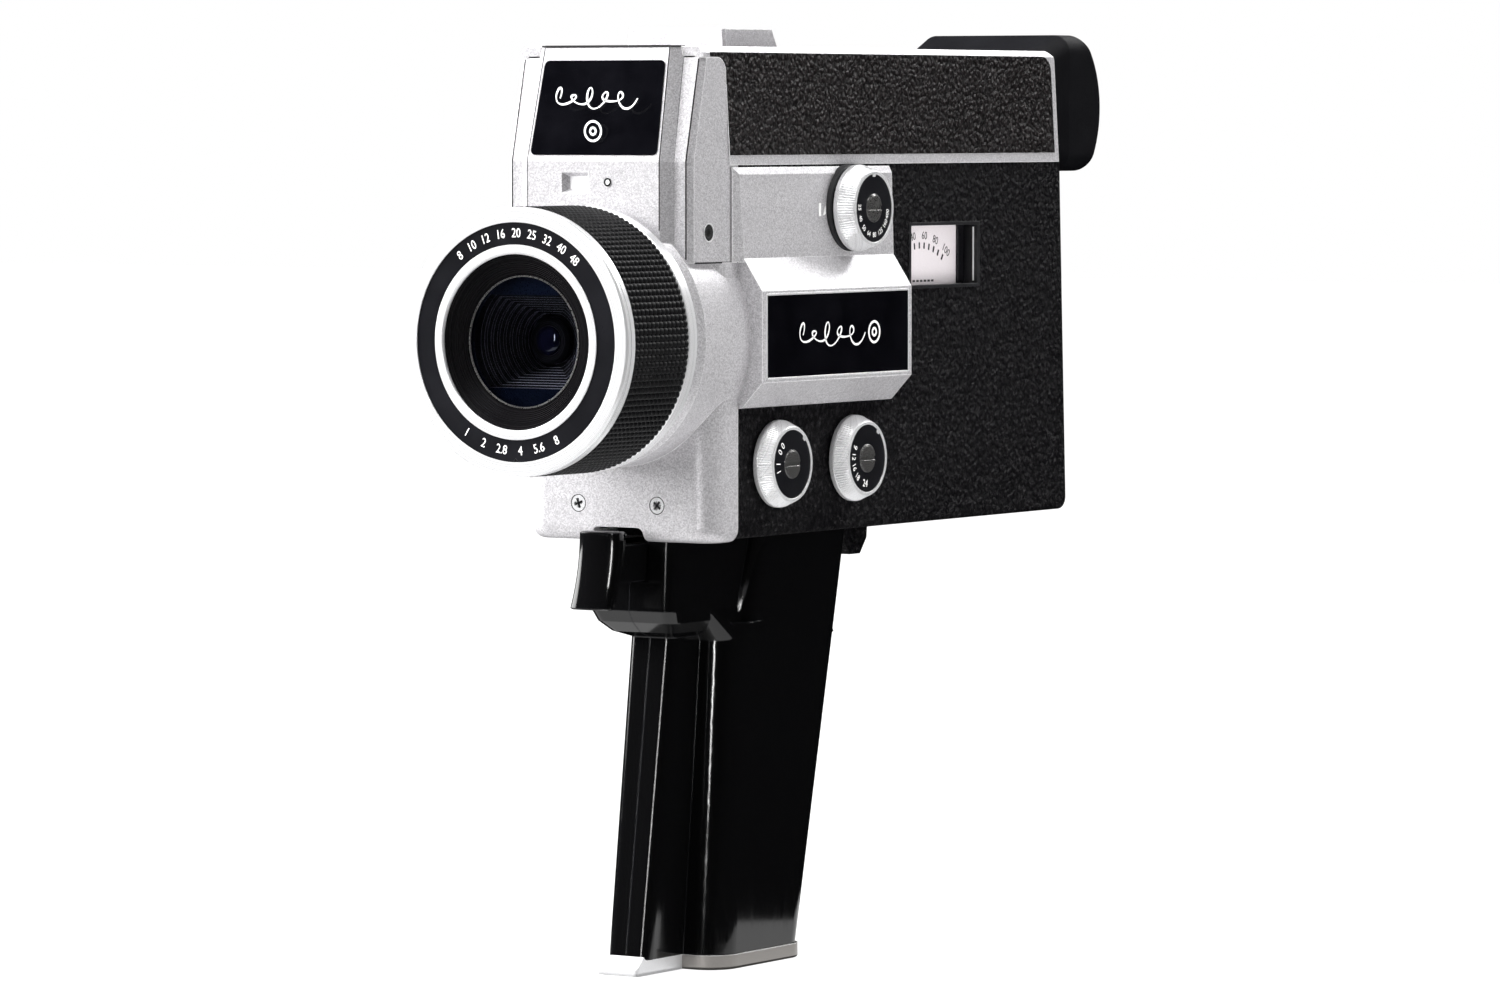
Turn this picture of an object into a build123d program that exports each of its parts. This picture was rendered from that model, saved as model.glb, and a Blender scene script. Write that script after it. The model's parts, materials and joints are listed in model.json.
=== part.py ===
from build123d import *
import os
from math import atan2, cos, radians, sin, tan

# Pistol-grip cine camera. +Z is up, +X is the side with the dials, and the lens looks along -Y.
# The origin is the mouth of the tripod socket, in the middle of the grip's base.
# Depths are counted backwards from the lens's front ring, heights upwards from the lens axis.

# Frame
lens_axis_z = 145.5
front_y = -77.0
socket_depth = 77.0

# Lens
bezel_radius = 30.0
bezel_depth = 3.1
name_ring_inner = 21.69
name_ring_outer = 26.67
inner_ring_inner = 19.57
cone_depth = 4.2
cone_small_radius = 14.7
cone_ribs = 10
barrel_radius = 26.6
barrel_bore = 24.6
sleeve_clearance = 0.07
rubber_inner = 28.6
rubber_outer = 30.15
rubber_front = 3.4
rubber_rear = 24.85
rubber_bands = 13
focus_ring_rear = 28.5
collar_front = 28.8
collar_radius = 29.34
module_radius = 5.3

# Body
body_half = 26.0
joint_depth = 51.2
block_front = 41.0
block_bottom = -46.3
block_corner = 6.0
casting_wall = 2.6
parting_height = 17.2
slope_height = 40.0
prow_top = 65.9
prow_front = 31.0
prow_slope_run = 6.0
prow_half_low = 18.0
prow_half_top = 17.0
prow_bevel = 2.5
wing_front = 33.3
wing_rear = 47.6
wing_top = 63.3
wing_face_edge = 23.6
wing_half_front = 25.0
wing_half_low = 26.0
wing_half_top = 25.0
wing_corner = 3.2
cover_top = 65.9
cover_base = 39.1
cover_half_base = 26.2
cover_half_top = 24.75
cover_wall = 2.2
band_top = 41.35
panel_top = 64.5
panel_front_top = 41.4
panel_rear = 193.3
seam_gap = 0.2
body_rear_top = 195.4
body_rear_low = 200.1
body_base = -45.5
shell_rim = 8.0
shell_edge = 0.9

# Side housing and nameplates
housing_front = 48.4
housing_bevel_rear = 51.9
housing_rear = 116.0
housing_face = 32.5
front_plate_low = 41.35
front_plate_top = 62.7

# Dials: depth and height of the axis, where the knob starts and where its face is
dial_radius = 10.0
dial_face_radius = 8.6
dial_disc_radius = 7.83
dial_screw_radius = 3.3
shaft_radius = 2.5
shaft_clearance = 0.06
shaft_end = 17.5
power_dial_place = (66.5, -29.0)
rate_dial_place = (99.1, -29.0)
filter_dial_place = (96.7, 28.96)
low_dial_base = 26.3
low_dial_face = 31.0
filter_base_top = 28.6
filter_dial_base = 28.9
filter_dial_face = 34.2

# Counter
counter_low = (125.6, 9.6)
counter_high = (157.8, 25.2)
needle_pivot = (128.0, -6.0)
needle_length = 23.5
needle_rest = -30.0

# Zoom rocker
rocker_front = 65.0
rocker_rear = 88.3
rocker_half = 13.6
rocker_top = 70.1
rocker_low = 65.4
rocker_pocket_floor = 64.4
rocker_pocket_gap = 0.35
rocker_axis_depth = 76.35
rocker_axis_height = 67.4
rocker_pin_radius = 0.6

# Eyepiece
eye_height = 52.0
eye_tube_radius = 9.2

# Grip
grip_bottom = -142.1
grip_shoulder = -66.0
housing_bottom = -62.5
housing_half = 11.6
trigger_half = 5.4
stem_half = 4.6
stem_top = -46.9
stem_low = -55.4
slot_gap = 0.4
ground = -145.5

# Screws
screw_radius = 1.1
screw_head_radius = 2.0
screw_length = 7.0

lens_axis = Axis((0, 0, lens_axis_z), (0, 1, 0))


def back(depth):
    """Y of a plane this far behind the front ring."""
    return front_y + depth


def up(height):
    """Z of a point this far above the lens axis."""
    return lens_axis_z + height


def both_sides(half):
    """Close a half outline with its mirror image in the middle plane."""
    return half + [(-x, v) for x, v in reversed(half)]


def rectangle(low, high):
    """The four corners of an upright rectangle."""
    return [low, (high[0], low[1]), high, (low[0], high[1])]


def side_sketch(points, x=0.0, corner=None, radius=0.0):
    """Face seen from the side: (depth, height) corners on a plane at x, one of them rounded if asked."""
    with BuildSketch(Plane.YZ.offset(x)) as outline:
        with BuildLine():
            Polyline([(back(d), up(h)) for d, h in points], close=True)
        make_face()
        if corner:
            nearest = outline.vertices().sort_by_distance((back(corner[0]), up(corner[1]), 0))[0]
            fillet(nearest, radius)
    return outline.sketch


def cross_sketch(depth, points, radius=0.0):
    """Face seen from the front: (x, height) corners on a plane at a depth."""
    with BuildSketch(Plane.XZ.offset(-back(depth))) as outline:
        with BuildLine():
            Polyline([(x, up(h)) for x, h in points], close=True)
        make_face()
        if radius:
            fillet(outline.vertices(), radius)
    return outline.sketch


def plan_sketch(height, points, radius=0.0, square_rear=True):
    """Face seen from above: (x, depth) corners on a level plane."""
    with BuildSketch(Plane.XY.offset(up(height))) as outline:
        with BuildLine():
            Polyline([(x, back(d)) for x, d in points], close=True)
        make_face()
        if radius and square_rear:
            fillet(outline.vertices().sort_by(Axis.Y)[:-2], radius)
        if radius and not square_rear:
            fillet(outline.vertices(), radius)
    return outline.sketch


def turned_across(place, points):
    """Solid turned about an axis along X from a closed (x, radius) outline."""
    depth, height = place
    with BuildPart() as piece:
        with BuildSketch(Plane.XZ.offset(-back(depth))):
            with BuildLine():
                Polyline([(x, up(height) + r) for x, r in points], close=True)
            make_face()
        revolve(axis=Axis((0, back(depth), up(height)), (1, 0, 0)))
    return piece


def block(low, high, radius=0.0):
    """Box between two (x, depth, height) corners, with rounded upright edges if asked."""
    with BuildPart() as piece:
        plan = rectangle((low[0], low[1]), (high[0], high[1]))
        extrude(plan_sketch(low[2], plan, radius, square_rear=False), amount=high[2] - low[2])
    return piece


# ---------------------------------------------------------------- lens

with BuildPart() as front_bezel:
    # Two bright rings in one piece, with a seat for the black name ring between them
    groove = 0.3
    mid = bezel_depth / 2
    name_seat = 1.5
    profile = [
        (0, name_ring_outer),
        (0, bezel_radius - 0.5),
        (0.5, bezel_radius),
        (mid - groove / 2, bezel_radius),
        (mid - groove / 2, bezel_radius - groove),
        (mid + groove / 2, bezel_radius - groove),
        (mid + groove / 2, bezel_radius),
        (bezel_depth, bezel_radius),
        (bezel_depth, name_ring_inner),
        (cone_depth, name_ring_inner),
        (cone_depth, inner_ring_inner),
        (0.3, inner_ring_inner),
        (0.0, inner_ring_inner + 0.3),
        (0.0, name_ring_inner),
        (name_seat, name_ring_inner),
        (name_seat, name_ring_outer),
    ]
    revolve(side_sketch(profile), axis=lens_axis)

with BuildPart() as name_ring:
    revolve(side_sketch(rectangle((0.2, name_ring_inner), (name_seat, name_ring_outer))), axis=lens_axis)
    # Index notch at the bottom of the ring's outer edge
    notch_tip = -name_ring_outer + 0.9
    notch = [(-0.8, -name_ring_outer - 0.1), (0.8, -name_ring_outer - 0.1), (0, notch_tip)]
    extrude(cross_sketch(0, notch), amount=-0.6, mode=Mode.SUBTRACT)

with BuildPart() as ribbed_cone:
    # Shallow cone towards the glass, with fine sharp ribs against stray light
    first_depth = 0.7
    last_depth = 3.6
    depth_step = (last_depth - first_depth) / cone_ribs
    radius_step = (inner_ring_inner - 0.3 - cone_small_radius) / cone_ribs
    profile = [(cone_depth, cone_small_radius), (cone_depth, inner_ring_inner)]
    profile.append((first_depth, inner_ring_inner))
    for rib in range(cone_ribs):
        rib_depth = first_depth + rib * depth_step
        rib_radius = inner_ring_inner - 0.3 - rib * radius_step
        profile.append((rib_depth, rib_radius))
        profile.append((rib_depth + depth_step, rib_radius - 0.15))
    profile.append((last_depth, cone_small_radius))
    revolve(side_sketch(profile), axis=lens_axis)

with BuildPart() as front_glass:
    revolve(side_sketch(rectangle((cone_depth, 0), (5.2, 19.4))), axis=lens_axis)

with BuildPart() as light_hood:
    # Rectangular funnel in shallow steps behind the glass, round at its sides
    hood_front = 5.2
    hood_rear = 18.5
    hood_steps = 9
    revolve(side_sketch(rectangle((hood_front, 0), (hood_rear, 19.4))), axis=lens_axis)
    for step in range(hood_steps):
        share = step / (hood_steps - 1)
        step_depth = hood_front + share * 9.0
        half_wide = 14.6 - share * 8.2
        half_high = 10.4 - share * 4.4
        with BuildSketch(Plane.XZ.offset(-back(step_depth))):
            with Locations((0, lens_axis_z)):
                Circle(half_wide)
                Rectangle(2 * half_wide, 2 * half_high, mode=Mode.INTERSECT)
        extrude(amount=-(hood_rear - step_depth) * 0.12 - 1.0, mode=Mode.SUBTRACT)
    revolve(side_sketch(rectangle((hood_front, 0), (hood_rear, module_radius))),
            axis=lens_axis, mode=Mode.SUBTRACT)

with BuildPart() as lens_module:
    profile = [
        (13.2, 3.4),
        (13.2, 4.6),
        (13.8, module_radius),
        (26.0, module_radius),
        (26.0, 0),
        (14.6, 0),
        (14.6, 2.6),
    ]
    revolve(side_sketch(profile), axis=lens_axis)

with BuildPart() as sensor_board:
    add(block((-13, 26.0, -12), (13, 27.4, 12)).part)
    add(block((-6, 27.4, -6), (6, 29.0, 6)).part)

with BuildPart() as lens_barrel:
    # Fixed tube with the optics carrier turned in one piece with it
    profile = [
        (bezel_depth, name_ring_inner),
        (bezel_depth, barrel_radius),
        (joint_depth, barrel_radius),
        (joint_depth, barrel_bore),
        (6.0, barrel_bore),
        (6.0, 21.6),
        (20.0, 21.6),
        (20.0, module_radius),
        (18.5, module_radius),
        (18.5, 19.4),
        (cone_depth, 19.4),
        (cone_depth, name_ring_inner),
    ]
    revolve(side_sketch(profile), axis=lens_axis)

with BuildPart() as focus_ring:
    sleeve_bore = barrel_radius + sleeve_clearance
    profile = [
        (rubber_front, sleeve_bore),
        (rubber_front, rubber_inner),
        (rubber_rear, rubber_inner),
        (rubber_rear, bezel_radius - 0.3),
        (rubber_rear + 0.3, bezel_radius),
        (focus_ring_rear - 0.4, bezel_radius),
        (focus_ring_rear, bezel_radius - 0.4),
        (focus_ring_rear, sleeve_bore),
    ]
    revolve(side_sketch(profile), axis=lens_axis)

with BuildPart() as focus_rubber:
    # Ribbed rubber band, cut into short blocks by fine grooves
    pitch = (rubber_rear - rubber_front) / rubber_bands
    profile = [(rubber_rear, rubber_inner), (rubber_front, rubber_inner)]
    for band in range(rubber_bands):
        start = rubber_front + band * pitch
        profile.append((start, rubber_outer - 0.35))
        profile.append((start + 0.2, rubber_outer))
        profile.append((start + pitch - 0.2, rubber_outer))
    profile.append((rubber_rear, rubber_outer - 0.35))
    revolve(side_sketch(profile), axis=lens_axis)

# ---------------------------------------------------------------- front castings

collar_outline = [
    (collar_front, 0),
    (collar_front, 27.6),
    (30.0, 27.6),
    (32.8, collar_radius),
    (joint_depth, collar_radius),
    (joint_depth, 0),
]

screw_places = [(-10.7, -37.9), (10.7, -37.9)]

with BuildPart() as front_lower_casting:
    half_plan = [(body_half, block_front), (body_half, joint_depth)]
    extrude(plan_sketch(block_bottom, both_sides(half_plan), block_corner),
            amount=parting_height - block_bottom)
    foot_edges = front_lower_casting.edges().group_by(Axis.Z)[0].sort_by(Axis.Y)[:-1]
    fillet(foot_edges, 3.0)
    pocket = block((-body_half + casting_wall, block_front + casting_wall, block_bottom + casting_wall),
                   (body_half - casting_wall, joint_depth, parting_height))
    add(pocket.part, mode=Mode.SUBTRACT)
    revolve(side_sketch(collar_outline), axis=lens_axis)
    revolve(side_sketch(rectangle((collar_front, 0), (joint_depth, barrel_radius))),
            axis=lens_axis, mode=Mode.SUBTRACT)
    # Notch that the trigger's top moves back into
    with BuildSketch(Plane.XZ.offset(-back(block_front - 1))) as notch_face:
        with BuildLine():
            Polyline([(x, up(h)) for x, h in both_sides([(6.8, -50.0), (6.8, -43.1)])], close=True)
        make_face()
        fillet(notch_face.vertices().group_by(Axis.Y)[-1], 1.4)
    extrude(amount=-(joint_depth - block_front + 2), mode=Mode.SUBTRACT)
    for x, height in screw_places:
        with Locations(Plane(origin=(x, back(block_front), up(height)), z_dir=(0, -1, 0))):
            CounterSinkHole(radius=screw_radius, counter_sink_radius=screw_head_radius, depth=6)

slope_rate = prow_slope_run / (prow_top - slope_height)


def prow_plan(height, half, front):
    """Outline of the prow at one height: a flat face with a bevel at each side."""
    half_outline = [(half, front), (half + prow_bevel, front + 2.3), (half + prow_bevel, 52.0)]
    return plan_sketch(height, both_sides(half_outline), 0.5)


def wing_plan(height, half, front):
    """Outline of the shoulders beside the prow at one height: a narrow facet at each front corner."""
    return plan_sketch(height, both_sides([(wing_face_edge, front), (wing_half_front, front + 1.2), (half, 52.0)]))


# The nameplate lies on the prow's slope
slope_angle = atan2(prow_slope_run, prow_top - slope_height)
plate_origin = (0, back(prow_front + slope_rate * (front_plate_low - slope_height)), up(front_plate_low))
plate_plane = Plane(origin=plate_origin, x_dir=(1, 0, 0), z_dir=(0, -cos(slope_angle), sin(slope_angle)))
plate_length = (front_plate_top - front_plate_low) / cos(slope_angle)

with BuildPart() as front_nameplate:
    with BuildSketch(plate_plane.offset(-0.6)) as plate_face:
        with BuildLine():
            Polyline(both_sides([(17.2, 0), (16.3, plate_length)]), close=True)
        make_face()
        fillet(plate_face.vertices(), 1.3)
    extrude(amount=0.75)

window_low = (-8.4, 32.8)
window_high = (-1.2, 37.5)
pane_low = (-7.0, 33.7)
pane_high = (-1.9, 36.6)
pane_depth = prow_front + 1.4
lamp_place = (4.1, 35.3)
lamp_radius = 0.95
grommet_place = (40.1, 24.0)
grommet_radius = 1.9

with BuildPart() as sensor_window:
    extrude(cross_sketch(pane_depth, rectangle(pane_low, pane_high)), amount=-1.0)

with BuildPart() as status_lamp:
    with BuildSketch(Plane.XZ.offset(-back(prow_front - 0.1))):
        with Locations((lamp_place[0], up(lamp_place[1]))):
            Circle(lamp_radius)
    extrude(amount=-3.0)

microphone_grommet = turned_across(grommet_place, [
    (21.0, 0), (21.0, grommet_radius), (25.2, grommet_radius), (25.2, 1.1), (24.6, 0.8), (24.6, 0)])

front_rear_outline = [
    (28.0, parting_height),
    (joint_depth, parting_height),
    (joint_depth, cover_base),
    (wing_rear, cover_base),
    (wing_rear, wing_top),
    (40.3, wing_top),
    (40.3, prow_top),
    (28.0, prow_top),
]

with BuildPart() as front_upper_casting:
    wing_slope = slope_rate * (wing_top - slope_height)
    extrude(prow_plan(parting_height, prow_half_low, prow_front), amount=slope_height - parting_height)
    extrude(wing_plan(parting_height, wing_half_low, wing_front), amount=slope_height - parting_height)
    loft([prow_plan(slope_height, prow_half_low, prow_front),
          prow_plan(prow_top, prow_half_top, prow_front + prow_slope_run)], ruled=True)
    loft([wing_plan(slope_height, wing_half_low, wing_front),
          wing_plan(wing_top, wing_half_top, wing_front + wing_slope)], ruled=True)
    extrude(side_sketch(front_rear_outline, corner=(wing_rear, wing_top), radius=wing_corner),
            amount=30, both=True, mode=Mode.INTERSECT)
    hollow = [(33.6, 0), (53.0, 0), (53.0, 62.0), (39.3, 62.0), (33.9, slope_height)]
    extrude(side_sketch(hollow), amount=15.4, both=True, mode=Mode.SUBTRACT)
    revolve(side_sketch(collar_outline), axis=lens_axis, mode=Mode.SUBTRACT)
    # Seats for the nameplate, the sensor's pane with its sloping surround, the lamp and the grommet
    add(front_nameplate.part, mode=Mode.SUBTRACT)
    loft([cross_sketch(prow_front, rectangle(window_low, window_high)),
          cross_sketch(pane_depth, rectangle(pane_low, pane_high))], ruled=True, mode=Mode.SUBTRACT)
    add(sensor_window.part, mode=Mode.SUBTRACT)
    with BuildSketch(Plane.XZ.offset(-back(prow_front - 1))):
        with Locations((lamp_place[0], up(lamp_place[1]))):
            Circle(lamp_radius)
    extrude(amount=-4.0, mode=Mode.SUBTRACT)
    with BuildSketch(Plane.YZ.offset(21.0)):
        with Locations((back(grommet_place[0]), up(grommet_place[1]))):
            Circle(grommet_radius)
    extrude(amount=6.0, mode=Mode.SUBTRACT)

head_depth = (screw_head_radius - screw_radius) / tan(radians(41))


def screw(plane):
    """Countersunk cross-head screw standing into the plane's back."""
    with BuildPart() as piece:
        with BuildSketch(Plane.XZ):
            with BuildLine():
                Polyline([(0, 0), (screw_head_radius, 0), (screw_radius, -head_depth),
                          (screw_radius, -screw_length), (0, -screw_length)], close=True)
            make_face()
        revolve(axis=Axis.Z)
        with BuildSketch():
            Rectangle(2.2, 0.5)
            Rectangle(0.5, 2.2)
        extrude(amount=-0.6, mode=Mode.SUBTRACT)
    return plane * piece.part


base_screw_depths = (66.5, 89.5)

with BuildPart() as case_screws:
    for x, height in screw_places:
        add(screw(Plane(origin=(x, back(block_front), up(height)), x_dir=(1, 0, 0), z_dir=(0, -1, 0))))
    for depth in base_screw_depths:
        add(screw(Plane(origin=(0, back(depth), up(ground)), x_dir=(1, 0, 0), z_dir=(0, 0, -1))))

# ---------------------------------------------------------------- top cover and its panels

cover_side = [
    (wing_rear, cover_base),
    (wing_rear, wing_top),
    (38.6, wing_top),
    (38.6, cover_top),
    (body_rear_top, cover_top),
    (body_rear_top, cover_base),
]


def cover_half_at(height):
    """Half width of the top cover, which leans in towards the top."""
    share = (height - cover_base) / (panel_top - cover_base)
    return cover_half_base + share * (cover_half_top - cover_half_base)


with BuildPart() as upper_panel_right:
    inner_corner = (wing_rear + seam_gap, wing_top + seam_gap)
    panel_side = [
        (inner_corner[0], band_top),
        inner_corner,
        (panel_front_top, inner_corner[1]),
        (panel_front_top, panel_top),
        (panel_rear, panel_top),
        (panel_rear, band_top),
    ]
    extrude(side_sketch(panel_side, 20.0, inner_corner, wing_corner), amount=10)
    rear_top_edge = upper_panel_right.edges().filter_by(Axis.X).sort_by_distance(
        (25, back(panel_rear), up(panel_top)))[0]
    fillet(rear_top_edge, 3.8)
    low_half = cover_half_at(band_top)
    top_half = cover_half_at(panel_top)
    skin = [(low_half - 0.7, band_top), (low_half + 0.2, band_top),
            (top_half + 0.2, panel_top), (top_half - 0.7, panel_top)]
    extrude(cross_sketch(40.0, skin), amount=-160, mode=Mode.INTERSECT)

with BuildPart() as upper_panel_left:
    mirror(upper_panel_right.part, about=Plane.YZ)

with BuildPart() as top_cover:
    outer_half = [(cover_half_base, cover_base), (cover_half_top, panel_top), (23.4, cover_top)]
    cavity_half = [(cover_half_base - cover_wall, cover_base), (22.6, cover_top - cover_wall)]
    extrude(cross_sketch(36.0, both_sides(outer_half)), amount=-(body_rear_top - 36.0))
    extrude(side_sketch(cover_side, corner=(wing_rear, wing_top), radius=wing_corner),
            amount=30, both=True, mode=Mode.INTERSECT)
    rear_edge = top_cover.edges().filter_by(Axis.X).sort_by_distance((0, back(body_rear_top), up(cover_top)))[0]
    fillet(rear_edge, 2.6)
    extrude(cross_sketch(36.0, both_sides(cavity_half)),
            amount=-(body_rear_top - cover_wall - 36.0), mode=Mode.SUBTRACT)
    add(front_upper_casting.part, mode=Mode.SUBTRACT)
    # Shallow pocket that the zoom rocker's rim dips into
    add(block((-rocker_half - rocker_pocket_gap, rocker_front - rocker_pocket_gap, rocker_pocket_floor),
              (rocker_half + rocker_pocket_gap, rocker_rear + rocker_pocket_gap, cover_top + 1), 1.0).part,
        mode=Mode.SUBTRACT)
    add(upper_panel_right.part, mode=Mode.SUBTRACT)
    add(upper_panel_left.part, mode=Mode.SUBTRACT)
    # Hole for the eyepiece in the rear wall
    with BuildSketch(Plane.XZ.offset(-back(190.0))):
        with Locations((0, up(eye_height))):
            Circle(eye_tube_radius)
    extrude(amount=-8, mode=Mode.SUBTRACT)

# ---------------------------------------------------------------- lower body

rear_rate = (body_rear_low - 196.6) / (cover_base - body_base)


def rear_at(height):
    """Depth of the body's rear face, which leans back a little towards the bottom."""
    return body_rear_low - (height - body_base) * rear_rate


cover_outline = [
    (joint_depth, body_base),
    (joint_depth, cover_base),
    (rear_at(cover_base), cover_base),
    (rear_at(body_base), body_base),
]


def side_cover():
    """Shallow dish that closes one side of the body, open towards the middle."""
    with BuildPart() as piece:
        with BuildSketch(Plane.YZ.offset(body_half - shell_rim)) as face:
            with BuildLine():
                Polyline([(back(d), up(h)) for d, h in cover_outline], close=True)
            make_face()
            fillet(face.vertices().sort_by(Axis.X)[-1], 3.0)
        extrude(amount=shell_rim)
        outer_edges = piece.edges().group_by(Axis.X)[-1].sort_by(Axis.Y)
        fillet([edge for edge in outer_edges
                if edge.center().Y > back(60.0) and edge.center().Z < up(30.0)], shell_edge)
        with BuildSketch(Plane.YZ.offset(body_half - shell_rim)):
            with BuildLine():
                Polyline([(back(d), up(h)) for d, h in cover_outline], close=True)
            make_face()
            offset(amount=-cover_wall)
        extrude(amount=shell_rim - cover_wall, mode=Mode.SUBTRACT)
    return piece


plain_side_cover = side_cover()
shaft_hole = shaft_radius + shaft_clearance
dial_places = [power_dial_place, rate_dial_place, filter_dial_place]

with BuildPart() as side_cover_right:
    add(plain_side_cover.part)
    with BuildSketch(Plane.YZ.offset(body_half - shell_rim)):
        with Locations([(back(d), up(h)) for d, h in dial_places]):
            Circle(shaft_hole)
    extrude(amount=shell_rim, mode=Mode.SUBTRACT)
    extrude(side_sketch(rectangle(counter_low, counter_high), body_half - shell_rim),
            amount=shell_rim, mode=Mode.SUBTRACT)

# Hinged port door on the plain side
door_low = (160.0, -34.0)
door_high = (184.0, -12.0)
door_gap = 0.3
door_thickness = 1.2
door_axis_x = -(body_half - door_thickness / 2)

with BuildPart() as side_cover_left:
    mirror(plain_side_cover.part, about=Plane.YZ)
    opening = [(door_low[0] - door_gap, door_low[1] - door_gap), (door_high[0] + door_gap, door_high[1] + door_gap)]
    extrude(side_sketch(rectangle(*opening), -body_half), amount=door_thickness + 0.3, mode=Mode.SUBTRACT)
    inner = [(door_low[0] + 3, door_low[1] + 4), (door_high[0] - 3, door_high[1] - 3)]
    extrude(side_sketch(rectangle(*inner), -body_half), amount=4, mode=Mode.SUBTRACT)

with BuildPart() as port_door:
    extrude(side_sketch(rectangle((door_low[0], door_low[1] + 0.6), door_high), -body_half), amount=door_thickness)
    # Round hinge edge along the bottom
    with BuildSketch(Plane.XZ.offset(-back(door_low[0]))):
        with Locations((door_axis_x, up(door_low[1] + 0.6))):
            Circle(door_thickness / 2)
    extrude(amount=-(door_high[0] - door_low[0]))

with BuildPart() as port_block:
    extrude(side_sketch(rectangle((162.0, -33.0), (182.0, -13.0)), -22.0), amount=8.0)
    # Round-ended charging socket and a memory card slot
    with BuildSketch(Plane.YZ.offset(-22.0)):
        with Locations((back(172.0), up(-27.5))):
            SlotOverall(9.0, 3.2)
        with Locations((back(172.0), up(-18.5))):
            Rectangle(11.4, 1.2)
    extrude(amount=6.0, mode=Mode.SUBTRACT)

inner_half = body_half - shell_rim

with BuildPart() as bottom_cover:
    plan = both_sides([(inner_half, joint_depth), (inner_half, body_rear_low - 0.1)])
    extrude(plan_sketch(body_base, plan), amount=cover_wall)
    # Opening into the grip for its wires
    add(block((-7, 84.0, body_base), (7, 104.0, body_base + cover_wall)).part, mode=Mode.SUBTRACT)
    # Strap lug moulded on behind the grip
    lug_outline = [(133.0, body_base), (133.5, -50.5), (136.5, -54.2),
                   (141.0, -54.2), (144.0, -50.5), (144.5, body_base)]
    extrude(side_sketch(lug_outline), amount=3.0, both=True)
    with BuildSketch(Plane.YZ.offset(-4)):
        with Locations((back(138.8), up(-50.0))):
            Circle(1.9)
    extrude(amount=8, mode=Mode.SUBTRACT)

with BuildPart() as rear_cover:
    low = body_base + cover_wall
    outline = [
        (rear_at(cover_base) - cover_wall, cover_base),
        (rear_at(cover_base), cover_base),
        (rear_at(low), low),
        (rear_at(low) - cover_wall, low),
    ]
    extrude(side_sketch(outline, -inner_half), amount=2 * inner_half)

# ---------------------------------------------------------------- side housing

housing_section = [
    (body_half, 38.6),
    (26.3, 38.6),
    (27.1, 37.0),
    (27.6, 18.0),
    (housing_face, 10.7),
    (housing_face, -10.05),
    (27.1, -15.8),
    (body_half, -16.0),
]

with BuildPart() as side_nameplate:
    extrude(side_sketch(rectangle((53.0, -9.2), (114.5, 9.9)), housing_face - 0.5), amount=0.62)

with BuildPart() as side_housing:
    extrude(cross_sketch(housing_front, housing_section), amount=-(housing_rear - housing_front))
    # The upper panel starts with a long bevel, and the bulge below it stops square at the joint
    add(block((body_half, housing_front, -17.0), (housing_face, joint_depth, parting_height)).part,
        mode=Mode.SUBTRACT)
    front_waste = [(26.3, housing_front), (27.6, housing_bevel_rear - 0.7), (housing_face + 1, housing_bevel_rear - 0.7),
                   (housing_face + 1, housing_front)]
    extrude(plan_sketch(parting_height, front_waste), amount=25.0, mode=Mode.SUBTRACT)
    bulge_hollow = [(body_half, 9.0), (30.6, 9.0), (30.6, -9.0), (body_half, -13.0)]
    extrude(cross_sketch(joint_depth + 2, bulge_hollow),
            amount=-(housing_rear - joint_depth - 4), mode=Mode.SUBTRACT)
    add(side_nameplate.part, mode=Mode.SUBTRACT)
    with BuildSketch(Plane.YZ.offset(26.4)):
        with Locations((back(filter_dial_place[0]), up(filter_dial_place[1]))):
            Circle(dial_radius)
    extrude(amount=5, mode=Mode.SUBTRACT)
    with BuildSketch(Plane.YZ.offset(body_half)):
        with Locations((back(filter_dial_place[0]), up(filter_dial_place[1]))):
            Circle(shaft_hole)
    extrude(amount=5, mode=Mode.SUBTRACT)

filter_base_disc = turned_across(filter_dial_place, [
    (26.4, shaft_hole), (26.4, dial_radius), (filter_base_top - 0.3, dial_radius),
    (filter_base_top, dial_radius - 0.3), (filter_base_top, shaft_hole)])

# ---------------------------------------------------------------- dials


def dial_knob(place, base, face):
    """Knob with its shaft: widest near the base and coned towards the face."""
    seat = face - 0.5
    return turned_across(place, [
        (shaft_end, 0), (shaft_end, shaft_radius), (base, shaft_radius), (base, dial_radius - 0.8),
        (base + 0.8, dial_radius), (base + 1.5, dial_radius), (face, dial_face_radius),
        (face, dial_disc_radius), (seat, dial_disc_radius), (seat, screw_radius),
        (seat - 3.0, screw_radius), (seat - 3.0, 0)])


def dial_disc(place, face):
    """Printed disc let into the knob's face."""
    seat = face - 0.5
    return turned_across(place, [
        (seat, dial_screw_radius), (seat, dial_disc_radius),
        (seat + 0.3, dial_disc_radius), (seat + 0.3, dial_screw_radius)])


def dial_screw(place, face):
    """Slotted screw in the middle of the dial."""
    seat = face - 0.5
    depth, height = place
    with BuildPart() as piece:
        add(turned_across(place, [
            (seat - 3.0, 0), (seat - 3.0, screw_radius), (seat, screw_radius),
            (seat, dial_screw_radius), (face, dial_screw_radius), (face + 0.25, dial_screw_radius - 0.5),
            (face + 0.25, 0)]).part)
        add(block((face - 0.25, depth - 4, height - 0.45), (face + 1, depth + 4, height + 0.45)).part,
            mode=Mode.SUBTRACT)
    return piece


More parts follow.
